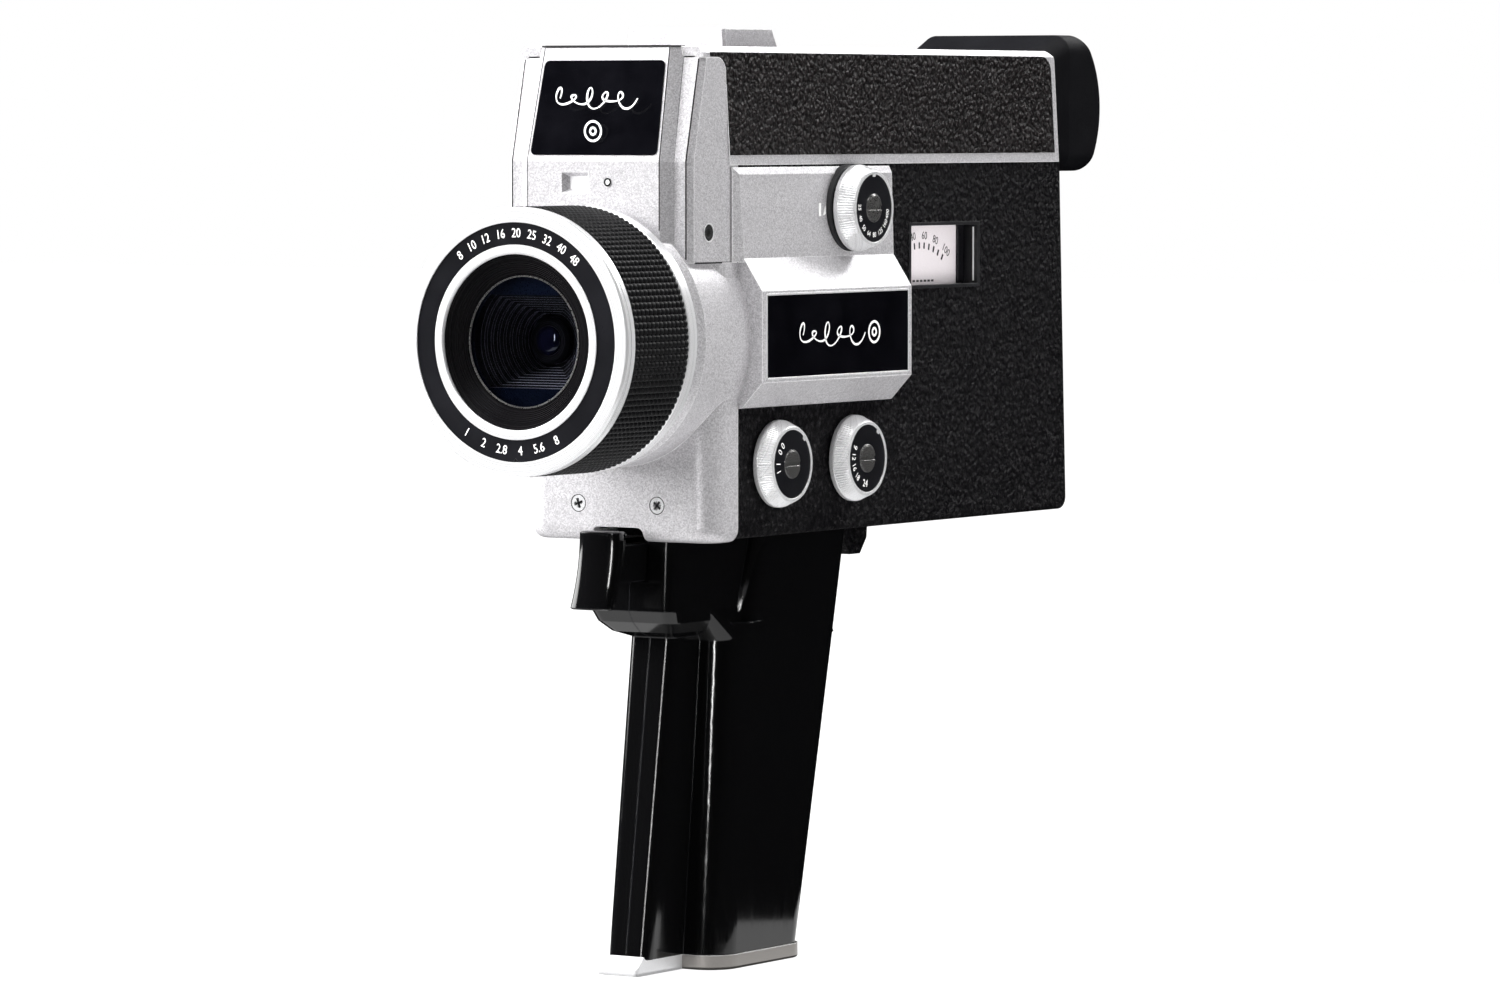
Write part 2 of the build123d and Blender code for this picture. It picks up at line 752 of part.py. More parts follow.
power_dial = dial_knob(power_dial_place, low_dial_base, low_dial_face)
power_dial_disc = dial_disc(power_dial_place, low_dial_face)
power_dial_screw = dial_screw(power_dial_place, low_dial_face)
rate_dial = dial_knob(rate_dial_place, low_dial_base, low_dial_face)
rate_dial_disc = dial_disc(rate_dial_place, low_dial_face)
rate_dial_screw = dial_screw(rate_dial_place, low_dial_face)
filter_dial = dial_knob(filter_dial_place, filter_dial_base, filter_dial_face)
filter_dial_disc = dial_disc(filter_dial_place, filter_dial_face)
filter_dial_screw = dial_screw(filter_dial_place, filter_dial_face)

board_face = 15.0

with BuildPart() as rotary_switches:
    for place in dial_places:
        depth, height = place
        extrude(side_sketch(rectangle((depth - 5.5, height - 5.5), (depth + 5.5, height + 5.5)), board_face),
                amount=5.6)
        with BuildSketch(Plane.YZ.offset(shaft_end - 0.3)):
            with Locations((back(depth), up(height))):
                Circle(shaft_hole)
        extrude(amount=5, mode=Mode.SUBTRACT)

with BuildPart() as main_board:
    extrude(side_sketch(rectangle((62.0, -40.0), (188.0, 34.5)), board_face - 1.6), amount=1.6)
    # Two chips on the inner face
    for depth, height, size in ((120.0, 0.0, 14.0), (150.0, 10.0, 9.0)):
        half = size / 2
        extrude(side_sketch(rectangle((depth - half, height - half), (depth + half, height + half)),
                            board_face - 3.0), amount=1.4)

# ---------------------------------------------------------------- counter

counter_wall = 0.8
card_back = 21.0
card_face = 21.5
glass_back = 24.9
glass_front = 25.6
frame_front = 26.15
window_inner_low = (counter_low[0] + counter_wall, counter_low[1] + counter_wall)
window_inner_high = (counter_high[0] - counter_wall, counter_high[1] - counter_wall)

with BuildPart() as counter_frame:
    extrude(side_sketch(rectangle(counter_low, counter_high), card_face), amount=frame_front - card_face)
    extrude(side_sketch(rectangle(window_inner_low, window_inner_high), card_face),
            amount=6, mode=Mode.SUBTRACT)
    # Room for the needle below and in front
    extrude(side_sketch(rectangle((counter_low[0], counter_low[1]), window_inner_high), card_face),
            amount=24.6 - card_face, mode=Mode.SUBTRACT)

with BuildPart() as counter_card:
    extrude(side_sketch(rectangle((119.0, 4.0), counter_high), card_back), amount=card_face - card_back)

with BuildPart() as counter_window:
    extrude(side_sketch(rectangle(window_inner_low, window_inner_high), glass_back),
            amount=glass_front - glass_back)

needle_back = 22.9
needle_front = 23.3
movement_face = 22.5
pin_radius = 0.5

with BuildPart() as counter_needle:
    pivot_y = back(needle_pivot[0])
    pivot_z = up(needle_pivot[1])
    lean = radians(needle_rest)
    tip = (pivot_y + needle_length * sin(lean), pivot_z + needle_length * cos(lean))
    side_step = (0.45 * cos(lean), -0.45 * sin(lean))
    with BuildSketch(Plane.YZ.offset(needle_back)):
        with BuildLine():
            Polyline([
                (pivot_y - side_step[0], pivot_z - side_step[1]),
                (tip[0] - side_step[0] / 3, tip[1] - side_step[1] / 3),
                (tip[0] + side_step[0] / 3, tip[1] + side_step[1] / 3),
                (pivot_y + side_step[0], pivot_z + side_step[1]),
            ], close=True)
        make_face()
        with Locations((pivot_y, pivot_z)):
            Circle(1.6)
    extrude(amount=needle_front - needle_back)
    with BuildSketch(Plane.YZ.offset(19.0)):
        with Locations((pivot_y, pivot_z)):
            Circle(pin_radius)
    extrude(amount=needle_front - 19.0)

meter_movement = turned_across(needle_pivot, [
    (board_face, 0), (board_face, 6.0), (movement_face, 6.0), (movement_face, pin_radius + shaft_clearance),
    (18.6, pin_radius + shaft_clearance), (18.6, 0)])

# ---------------------------------------------------------------- zoom rocker

rocker_base_top = 66.5
rocker_post_half = 0.7
rocker_post_x = 10.6
rocker_wall = 1.3

with BuildPart() as rocker_base:
    base_half = rocker_half - 1.9
    add(block((-base_half, rocker_front + 2, rocker_pocket_floor),
              (base_half, rocker_rear - 5, rocker_base_top), 1.0).part)
    for x in (-rocker_post_x, rocker_post_x):
        add(block((x - rocker_post_half, rocker_axis_depth - 1.5, rocker_base_top),
                  (x + rocker_post_half, rocker_axis_depth + 1.5, 68.1)).part)
    with BuildSketch(Plane.YZ.offset(-rocker_half)):
        with Locations((back(rocker_axis_depth), up(rocker_axis_height))):
            Circle(rocker_pin_radius + shaft_clearance)
    extrude(amount=2 * rocker_half, mode=Mode.SUBTRACT)

with BuildPart() as zoom_rocker:
    # Hollow cap that tilts forwards and backwards on two stub pins
    outer = both_sides([(rocker_half, rocker_low), (rocker_half - 0.4, rocker_top)])
    extrude(cross_sketch(rocker_front, outer), amount=-(rocker_rear - rocker_front))
    cap_side = [(rocker_front, rocker_low), (rocker_front + 0.2, rocker_top),
                (rocker_rear - 2.0, rocker_top), (rocker_rear, rocker_low)]
    extrude(side_sketch(cap_side), amount=20, both=True, mode=Mode.INTERSECT)
    upright = zoom_rocker.edges().filter_by(
        lambda edge: abs(edge.center().X) > 12 and abs(edge.center().Z - up((rocker_low + rocker_top) / 2)) < 0.2)
    chamfer(upright, 0.7)
    add(block((rocker_wall - rocker_half, rocker_front + rocker_wall, rocker_low - 1),
              (rocker_half - rocker_wall, rocker_rear - 3.0, 68.4)).part, mode=Mode.SUBTRACT)
    pin_length = 2.4
    pin_middle = rocker_half - rocker_wall - pin_length / 2 + 0.15
    for x in (-pin_middle, pin_middle):
        with BuildSketch(Plane.YZ.offset(x - pin_length / 2)):
            with Locations((back(rocker_axis_depth), up(rocker_axis_height))):
                Circle(rocker_pin_radius)
        extrude(amount=pin_length)

# ---------------------------------------------------------------- eyepiece

with BuildPart() as eyecup:
    near = cross_sketch(body_rear_top, both_sides([(19.0, 39.4), (19.5, 64.8)]), 4.0)
    far = cross_sketch(209.0, both_sides([(21.0, 36.7), (21.4, 70.0)]), 4.6)
    loft([near, far], ruled=True)
    extrude(far, amount=-20)
    with BuildSketch(Plane.YZ) as rim_side:
        with BuildLine():
            ThreePointArc((back(215.0), up(71.0)), (back(224.6), up(56.0)), (back(218.6), up(35.5)))
            Polyline((back(218.6), up(35.5)), (back(190.0), up(35.5)), (back(190.0), up(71.0)), (back(215.0), up(71.0)))
        make_face()
    extrude(amount=30, both=True, mode=Mode.INTERSECT)
    rim_edges = eyecup.edges().filter_by(lambda edge: edge.center().Y > back(213.0))
    fillet(rim_edges, 1.2)
    hollow_near = cross_sketch(199.0, both_sides([(12.0, 43.0), (12.0, 61.0)]), 4.0)
    hollow_far = cross_sketch(228.0, both_sides([(19.0, 38.0), (19.4, 69.0)]), 4.0)
    loft([hollow_near, hollow_far], ruled=True, mode=Mode.SUBTRACT)
    with BuildSketch(Plane.XZ.offset(-back(195.0))):
        with Locations((0, up(eye_height))):
            Circle(eye_tube_radius)
    extrude(amount=-5, mode=Mode.SUBTRACT)

flange_rear = body_rear_top - cover_wall
flange_front = flange_rear - 2.8
eyepiece_tube_outline = [
    (168.0, 7.6), (168.0, eye_tube_radius), (flange_front, eye_tube_radius), (flange_front, 11.0),
    (flange_rear, 11.0), (flange_rear, eye_tube_radius), (200.5, eye_tube_radius), (200.5, 7.6)]
with BuildPart() as eyepiece_tube:
    tube = [(d, r + eye_height) for d, r in eyepiece_tube_outline]
    revolve(side_sketch(tube), axis=Axis((0, 0, up(eye_height)), (0, 1, 0)))

with BuildPart() as eyepiece_lens:
    lens_outline = [(196.0, 0), (196.0, 7.6), (198.2, 7.6), (199.0, 5.0), (199.4, 2.5), (199.6, 0)]
    lens_points = [(d, r + eye_height) for d, r in lens_outline]
    revolve(side_sketch(lens_points), axis=Axis((0, 0, up(eye_height)), (0, 1, 0)))

with BuildPart() as viewfinder_display:
    add(block((-9, 164.6, eye_height - 8), (9, 168.0, eye_height + 8)).part)

# ---------------------------------------------------------------- grip


def grip_plan(height, half, front, rear, front_radius, rear_radius):
    """Level section of the handle, with larger rounding at the front."""
    with BuildSketch(Plane.XY.offset(up(height))) as outline:
        with BuildLine():
            Polyline([(-half, back(front)), (half, back(front)), (half, back(rear)), (-half, back(rear))],
                     close=True)
        make_face()
        fillet(outline.vertices().group_by(Axis.Y)[0], front_radius)
        fillet(outline.vertices().group_by(Axis.Y)[-1], rear_radius)
    return outline.sketch


# Solid form of the grip before it is hollowed and parted into halves
with BuildPart() as grip_form:
    # Handle
    loft([grip_plan(grip_shoulder, 15.6, 66.0, 113.6, 8.0, 6.0),
          grip_plan(grip_bottom, 15.6, 59.4, 96.2, 7.0, 6.0)], ruled=True)
    # Finger rib down the front
    loft([grip_plan(-69.0, 6.2, 54.4, 80.0, 2.6, 2.6),
          grip_plan(grip_bottom, 5.7, 44.2, 75.0, 2.6, 2.6)], ruled=True)
    # Upper part behind the trigger housing
    loft([grip_plan(body_base, 15.6, 78.5, 118.2, 3.0, 6.0),
          grip_plan(grip_shoulder, 15.6, 72.0, 113.6, 5.0, 6.0)], ruled=True)
    # Trigger housing
    loft([grip_plan(block_bottom, housing_half, 46.4, 100.0, 3.0, 3.0),
          grip_plan(housing_bottom, housing_half, 45.6, 98.0, 3.0, 3.0)], ruled=True)
    # Flared finger stop that runs down into the rib
    loft([grip_plan(housing_bottom, housing_half, 45.6, 98.0, 3.0, 3.0),
          grip_plan(-65.2, 11.0, 47.4, 97.0, 3.0, 3.0),
          grip_plan(-67.6, 9.2, 50.4, 96.0, 3.0, 3.0),
          grip_plan(-69.0, 6.2, 54.4, 95.0, 2.6, 2.6)], ruled=True)
    loft([grip_plan(housing_bottom, 11.6, 60.0, 112.0, 3.0, 3.0),
          grip_plan(-70.5, 15.0, 66.0, 112.0, 7.0, 3.0)], ruled=True)
    # Only the shallow part above the body's underside is under the front block
    top_step = block((-30, joint_depth, body_base), (30, 130, body_base + 2))
    add(top_step.part, mode=Mode.SUBTRACT)

grip_trigger_slot = block((-stem_half - slot_gap, 44.0, stem_low - slot_gap), (stem_half + slot_gap, 66.5, block_bottom + 1))

with BuildPart() as grip_hollow:
    loft([grip_plan(body_base, 13.0, 86.0, 114.5, 2.0, 4.0),
          grip_plan(grip_shoulder, 13.0, 74.0, 110.8, 2.0, 4.0)], ruled=True)
    loft([grip_plan(grip_shoulder, 13.0, 74.0, 110.8, 2.0, 4.0),
          grip_plan(-134.0, 13.0, 63.8, 95.6, 4.0, 4.0)], ruled=True)

with BuildPart() as grip_shell:
    add(grip_form.part)
    add(grip_hollow.part, mode=Mode.SUBTRACT)
    add(grip_trigger_slot.part, mode=Mode.SUBTRACT)
    # Recess for the tripod bush, and holes for the base screws
    with BuildSketch(Plane.XY.offset(up(grip_bottom))):
        with Locations((0, back(socket_depth))):
            Circle(5.5)
    extrude(amount=6.0, mode=Mode.SUBTRACT)
    with BuildSketch(Plane.XY.offset(up(grip_bottom))):
        with Locations([(0, back(depth)) for depth in base_screw_depths]):
            Circle(screw_radius)
    extrude(amount=screw_length, mode=Mode.SUBTRACT)

with BuildPart() as grip_right:
    add(grip_shell.part)
    split(bisect_by=Plane.YZ, keep=Keep.TOP)

with BuildPart() as grip_left:
    add(grip_shell.part)
    split(bisect_by=Plane.YZ, keep=Keep.BOTTOM)

with BuildPart() as battery:
    battery_foot = (0, back(80.6), up(-131.5))
    battery_lean = 0.155
    battery_plane = Plane(origin=battery_foot, z_dir=(0, battery_lean, 1))
    with BuildSketch(battery_plane):
        Circle(9.2)
    extrude(amount=65.0)

with BuildPart() as trigger:
    # Concave finger blade
    with BuildSketch(Plane.YZ.offset(-trigger_half)):
        with BuildLine():
            Line((back(36.6), up(-43.7)), (back(32.2), up(-43.7)))
            ThreePointArc((back(32.2), up(-43.7)), (back(31.2), up(-52.4)), (back(28.1), up(-60.9)))
            Line((back(28.1), up(-60.9)), (back(31.6), up(-61.8)))
            ThreePointArc((back(31.6), up(-61.8)), (back(35.4), up(-53.4)), (back(36.6), up(-43.7)))
        make_face()
    extrude(amount=2 * trigger_half)
    long_edges = trigger.edges().filter_by(lambda edge: abs(edge.center().X) > trigger_half - 0.1)
    fillet(long_edges, 0.7)
    # Stem that slides in the grip
    stem_side = [(33.8, stem_top), (33.8, stem_low), (57.5, stem_low), (57.5, stem_top)]
    extrude(side_sketch(stem_side, -stem_half), amount=2 * stem_half)

with BuildPart() as trigger_spring:
    # Return spring beside the switch, as a plain sleeve
    spring_height = (stem_top + stem_low) / 2
    spring_x = 2.5
    spring_sleeve = rectangle((57.5, spring_height + 1.2), (66.5, spring_height + 2.0))
    revolve(side_sketch(spring_sleeve, spring_x), axis=Axis((spring_x, 0, up(spring_height)), (0, 1, 0)))

with BuildPart() as trigger_switch:
    add(block((-4.6, 61.4, -54.4), (-0.2, 66.5, -48.0)).part)

# ---------------------------------------------------------------- base

with BuildPart() as base_plate:
    extrude(grip_plan(ground, 16.0, 59.0, 97.0, 7.4, 6.4), amount=grip_bottom - ground)
    fillet(base_plate.edges().group_by(Axis.Z)[0], 0.6)
    with BuildSketch(Plane.XY.offset(up(ground))):
        with Locations((0, back(socket_depth))):
            Circle(5.5)
    extrude(amount=5, mode=Mode.SUBTRACT)
    for depth in base_screw_depths:
        with Locations(Plane(origin=(0, back(depth), up(ground)), z_dir=(0, 0, -1))):
            CounterSinkHole(radius=screw_radius, counter_sink_radius=screw_head_radius, depth=5)

with BuildPart() as base_foot:
    foot_side = [(40.4, ground), (40.4, -144.0), (43.0, -141.2), (43.9, grip_bottom), (59.0, grip_bottom), (59.0, ground)]
    extrude(side_sketch(foot_side, -5.7), amount=11.4)
    foot_front_edges = base_foot.edges().filter_by(Axis.Z).group_by(Axis.Y)[0]
    fillet(foot_front_edges, 1.0)

with BuildPart() as tripod_bush:
    with BuildSketch(Plane.XY.offset(up(ground))):
        with Locations((0, back(socket_depth))):
            Circle(5.5)
            Circle(2.6, mode=Mode.SUBTRACT)
    extrude(amount=9.0)

# ---------------------------------------------------------------- written pieces

pieces = {
    "front_bezel": front_bezel,
    "name_ring": name_ring,
    "ribbed_cone": ribbed_cone,
    "front_glass": front_glass,
    "light_hood": light_hood,
    "lens_module": lens_module,
    "sensor_board": sensor_board,
    "lens_barrel": lens_barrel,
    "focus_ring": focus_ring,
    "focus_rubber": focus_rubber,
    "front_lower_casting": front_lower_casting,
    "front_upper_casting": front_upper_casting,
    "front_nameplate": front_nameplate,
    "sensor_window": sensor_window,
    "status_lamp": status_lamp,
    "microphone_grommet": microphone_grommet,
    "case_screws": case_screws,
    "top_cover": top_cover,
    "upper_panel_right": upper_panel_right,
    "upper_panel_left": upper_panel_left,
    "side_cover_right": side_cover_right,
    "side_cover_left": side_cover_left,
    "port_door": port_door,
    "port_block": port_block,
    "bottom_cover": bottom_cover,
    "rear_cover": rear_cover,
    "side_housing": side_housing,
    "side_nameplate": side_nameplate,
    "filter_base_disc": filter_base_disc,
    "power_dial": power_dial,
    "power_dial_disc": power_dial_disc,
    "power_dial_screw": power_dial_screw,
    "rate_dial": rate_dial,
    "rate_dial_disc": rate_dial_disc,
    "rate_dial_screw": rate_dial_screw,
    "filter_dial": filter_dial,
    "filter_dial_disc": filter_dial_disc,
    "filter_dial_screw": filter_dial_screw,
    "rotary_switches": rotary_switches,
    "main_board": main_board,
    "counter_frame": counter_frame,
    "counter_card": counter_card,
    "counter_window": counter_window,
    "counter_needle": counter_needle,
    "meter_movement": meter_movement,
    "rocker_base": rocker_base,
    "zoom_rocker": zoom_rocker,
    "eyecup": eyecup,
    "eyepiece_tube": eyepiece_tube,
    "eyepiece_lens": eyepiece_lens,
    "viewfinder_display": viewfinder_display,
    "grip_right": grip_right,
    "grip_left": grip_left,
    "battery": battery,
    "trigger": trigger,
    "trigger_spring": trigger_spring,
    "trigger_switch": trigger_switch,
    "base_plate": base_plate,
    "base_foot": base_foot,
    "tripod_bush": tripod_bush,
}

for name, piece in pieces.items():
    piece.part.label = name
    export_step(piece.part, f"parts/{name}.step")
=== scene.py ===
"""Looks of the pistol-grip cine camera: silver and black shells, ribbed ring, dials and counter."""
import json
import math

import bmesh
import bpy
from mathutils import Matrix, Vector


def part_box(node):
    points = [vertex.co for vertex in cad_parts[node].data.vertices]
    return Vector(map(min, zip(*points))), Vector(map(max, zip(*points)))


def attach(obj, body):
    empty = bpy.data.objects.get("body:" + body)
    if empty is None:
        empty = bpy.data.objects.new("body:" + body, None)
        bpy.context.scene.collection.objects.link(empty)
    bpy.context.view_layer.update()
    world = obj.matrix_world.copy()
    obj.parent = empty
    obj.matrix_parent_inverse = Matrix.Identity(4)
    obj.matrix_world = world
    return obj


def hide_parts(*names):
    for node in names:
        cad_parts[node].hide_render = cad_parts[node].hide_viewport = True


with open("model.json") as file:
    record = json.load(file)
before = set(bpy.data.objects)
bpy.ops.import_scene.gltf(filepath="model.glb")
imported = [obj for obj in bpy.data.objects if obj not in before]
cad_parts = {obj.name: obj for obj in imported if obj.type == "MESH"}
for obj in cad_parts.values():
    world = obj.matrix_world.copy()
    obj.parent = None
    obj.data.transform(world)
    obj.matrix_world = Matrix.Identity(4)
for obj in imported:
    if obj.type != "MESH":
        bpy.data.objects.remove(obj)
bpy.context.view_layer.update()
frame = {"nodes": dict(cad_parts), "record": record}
nodes = frame["nodes"]

MM = 0.001
bezel_low, bezel_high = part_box("front_bezel")
FRONT = bezel_low.y
AXIS_Z = (bezel_low.z + bezel_high.z) / 2


def back(depth):
    """Y of a plane this many millimetres behind the front ring."""
    return FRONT + depth * MM


def up(height):
    """Z of a point this many millimetres above the lens axis."""
    return AXIS_Z + height * MM


# ---------------------------------------------------------------- shader graphs


class Finish:
    """One procedural material: a Principled shader with a few patterns joined to it."""

    def __init__(self, name, colour, roughness, metallic=0.0):
        self.material = bpy.data.materials.new(name)
        self.material.use_nodes = True
        self.tree = self.material.node_tree
        self.shader = self.tree.nodes["Principled BSDF"]
        self.place = self.add("ShaderNodeTexCoord").outputs["Object"]
        self.colour = tuple(colour) + (1.0,)
        self.shader.inputs["Base Color"].default_value = self.colour
        self.shader.inputs["Roughness"].default_value = roughness
        self.shader.inputs["Metallic"].default_value = metallic

    def add(self, kind, **settings):
        node = self.tree.nodes.new(kind)
        for key, value in settings.items():
            setattr(node, key, value)
        return node

    def join(self, source, socket):
        self.tree.links.new(source, socket)

    def set(self, name, value):
        self.shader.inputs[name].default_value = value
        return self

    def stretched(self, scale):
        """Object coordinates with another scale along each axis."""
        mapping = self.add("ShaderNodeMapping")
        mapping.inputs["Scale"].default_value = scale
        self.join(self.place, mapping.inputs["Vector"])
        return mapping.outputs["Vector"]

    def noise(self, pitch, detail=3.0, roughness=0.55, stretch=None):
        """Soft noise whose lumps are about this many millimetres apart."""
        node = self.add("ShaderNodeTexNoise")
        node.inputs["Scale"].default_value = 1.0 / (pitch * MM)
        node.inputs["Detail"].default_value = detail
        node.inputs["Roughness"].default_value = roughness
        self.join(self.stretched(stretch) if stretch else self.place, node.inputs["Vector"])
        return node.outputs["Fac"]

    def cells(self, pitch, feature="F1", smooth=0.0, stretch=None, vector=None):
        """Cell pattern with this many millimetres between cells."""
        node = self.add("ShaderNodeTexVoronoi", feature=feature)
        node.inputs["Scale"].default_value = 1.0 / (pitch * MM)
        if feature == "SMOOTH_F1":
            node.inputs["Smoothness"].default_value = smooth
        place = vector or (self.stretched(stretch) if stretch else self.place)
        self.join(place, node.inputs["Vector"])
        return node

    def warped(self, pitch, amount):
        """Object coordinates pushed about by noise, amount in millimetres."""
        node = self.add("ShaderNodeTexNoise")
        node.inputs["Scale"].default_value = 1.0 / (pitch * MM)
        node.inputs["Detail"].default_value = 2.0
        self.join(self.place, node.inputs["Vector"])
        scaled = self.add("ShaderNodeVectorMath", operation="MULTIPLY_ADD")
        self.join(node.outputs["Color"], scaled.inputs[0])
        scaled.inputs[1].default_value = (amount * MM,) * 3
        self.join(self.place, scaled.inputs[2])
        return scaled.outputs["Vector"]

    def spread(self, value, low, high, to_low=0.0, to_high=1.0):
        """Remap a value from one range to another, clamped."""
        node = self.add("ShaderNodeMapRange")
        self.join(value, node.inputs["Value"])
        node.inputs["From Min"].default_value = low
        node.inputs["From Max"].default_value = high
        node.inputs["To Min"].default_value = to_low
        node.inputs["To Max"].default_value = to_high
        return node.outputs["Result"]

    def calc(self, operation, first, second):
        node = self.add("ShaderNodeMath", operation=operation)
        for socket, value in zip(node.inputs, (first, second)):
            if isinstance(value, (int, float)):
                socket.default_value = value
            else:
                self.join(value, socket)
        return node.outputs["Value"]

    def tint(self, factor, first, second):
        """Colour between two others; each is a colour or another node's output."""
        node = self.add("ShaderNodeMix", data_type="RGBA")
        self.join(factor, node.inputs["Factor"])
        for socket, value in ((node.inputs["A"], first), (node.inputs["B"], second)):
            colour_socket = [s for s in node.inputs if s.name == socket.name and s.type == "RGBA"][0]
            if isinstance(value, tuple):
                colour_socket.default_value = value[:3] + (1.0,)
            else:
                self.join(value, colour_socket)
        return [s for s in node.outputs if s.type == "RGBA"][0]

    def paint(self, colour):
        self.join(colour, self.shader.inputs["Base Color"])

    def gloss(self, value):
        self.join(value, self.shader.inputs["Roughness"])

    def round_edges(self, radius):
        """Normals eased over sharp edges, this many millimetres wide."""
        node = self.add("ShaderNodeBevel")
        node.samples = 4
        node.inputs["Radius"].default_value = radius * MM
        return node.outputs["Normal"]

    def edges(self, radius):
        """1 at sharp edges and 0 elsewhere."""
        eased = self.round_edges(radius)
        geometry = self.add("ShaderNodeNewGeometry")
        dot = self.add("ShaderNodeVectorMath", operation="DOT_PRODUCT")
        self.join(eased, dot.inputs[0])
        self.join(geometry.outputs["Normal"], dot.inputs[1])
        return self.spread(dot.outputs["Value"], 0.995, 0.86)

    def relief(self, height, depth, normal=None):
        """Surface relief; depth is the height of a full step in millimetres."""
        node = self.add("ShaderNodeBump")
        node.inputs["Distance"].default_value = depth * MM
        self.join(height, node.inputs["Height"])
        if normal is not None:
            self.join(normal, node.inputs["Normal"])
        return node.outputs["Normal"]

    def shape(self, normal):
        self.join(normal, self.shader.inputs["Normal"])

    def along(self, axis):
        """One object coordinate."""
        node = self.add("ShaderNodeSeparateXYZ")
        self.join(self.place, node.inputs["Vector"])
        return node.outputs[axis]

    def radius_from(self, axis, centre):
        """Distance from a line through centre along an axis, in metres."""
        moved = self.add("ShaderNodeVectorMath", operation="SUBTRACT")
        self.join(self.place, moved.inputs[0])
        moved.inputs[1].default_value = centre
        flat = self.add("ShaderNodeVectorMath", operation="MULTIPLY")
        self.join(moved.outputs["Vector"], flat.inputs[0])
        flat.inputs[1].default_value = (0, 1, 1) if axis == "X" else (1, 0, 1)
        length = self.add("ShaderNodeVectorMath", operation="LENGTH")
        self.join(flat.outputs["Vector"], length.inputs[0])
        return length.outputs["Value"]


def silver_paint():
    """Silver paint with fine flake and a painted highlight along the edges."""
    f = Finish("silver_paint", (0.62, 0.61, 0.63), 0.38, 0.5)
    flake = f.cells(0.26).outputs["Color"]
    grains = f.add("ShaderNodeSeparateColor")
    f.join(flake, grains.inputs["Color"])
    cloud = f.noise(14.0, 4.0)
    speck = f.tint(grains.outputs["Red"], (0.36, 0.35, 0.365), (0.66, 0.65, 0.665))
    mottled = f.tint(f.spread(cloud, 0.25, 0.75, 0.0, 0.3), speck, (0.51, 0.50, 0.52))
    # Sharp edges painted near white and made less metallic: a painted highlight.
    painted_edge_highlight = f.edges(0.3)
    f.paint(f.tint(painted_edge_highlight, mottled, (0.97, 0.965, 0.97)))
    f.join(f.spread(painted_edge_highlight, 0.0, 1.0, 0.5, 0.0), f.shader.inputs["Metallic"])
    f.gloss(f.spread(grains.outputs["Green"], 0.0, 1.0, 0.33, 0.5))
    skin = f.relief(f.noise(0.5, 2.0), 0.005, f.round_edges(0.35))
    f.shape(f.relief(grains.outputs["Blue"], 0.004, skin))
    return f.material


def bright_ring():
    """Satin anodised metal with the fine circles that turning leaves."""
    f = Finish("bright_ring", (0.80, 0.80, 0.81), 0.3, 0.6)
    radius = f.radius_from("Y", (0, 0, AXIS_Z))
    turned_lines = f.add("ShaderNodeTexNoise", noise_dimensions="1D")
    turned_lines.inputs["Scale"].default_value = 1.0 / (0.12 * MM)
    turned_lines.inputs["Detail"].default_value = 3.0
    f.join(f.calc("ADD", radius, f.along("Y")), turned_lines.inputs["W"])
    lines = turned_lines.outputs["Fac"]
    # Sharp edges painted near white: a painted highlight.
    f.paint(f.tint(f.edges(0.25), f.tint(lines, (0.70, 0.70, 0.71), (0.84, 0.84, 0.85)), (0.95, 0.95, 0.95)))
    f.gloss(f.spread(lines, 0.2, 0.8, 0.24, 0.38))
    f.shape(f.relief(lines, 0.004, f.round_edges(0.25)))
    return f.material


def smooth_black(name, colour, roughness, grain_pitch=0.3, grain_depth=0.004, edge_highlight_paint=(0.05, 0.05, 0.052)):
    """Black finish with a fine grain, painted a little lighter along sharp edges as a highlight."""
    f = Finish(name, colour, roughness)
    grain = f.noise(grain_pitch, 3.0)
    cloud = f.noise(9.0, 3.0)
    lighter = tuple(c * 1.6 + 0.0006 for c in colour)
    # Sharp edges painted lighter: a painted highlight.
    f.paint(f.tint(f.edges(0.2), f.tint(f.spread(cloud, 0.35, 0.7), colour, lighter), edge_highlight_paint))
    f.gloss(f.spread(grain, 0.3, 0.7, roughness * 0.85, min(1.0, roughness * 1.2)))
    f.shape(f.relief(grain, grain_depth, f.round_edges(0.2)))
    return f.material


def gloss_black():
    """Polished black moulding with faint ripples and hair-fine rub marks."""
    f = Finish("gloss_black", (0.0018, 0.0018, 0.002), 0.09)
    rub = f.noise(0.9, 4.0, 0.7, (1.0, 1.0, 0.06))
    ripple = f.noise(16.0, 1.0)
    # Sharp edges painted slightly lighter: a painted highlight.
    f.paint(f.tint(f.edges(0.3), (0.0018, 0.0018, 0.002), (0.012, 0.012, 0.014)))
    f.gloss(f.spread(rub, 0.45, 0.8, 0.08, 0.15))
    f.shape(f.relief(ripple, 0.02, f.round_edges(0.4)))
    return f.material


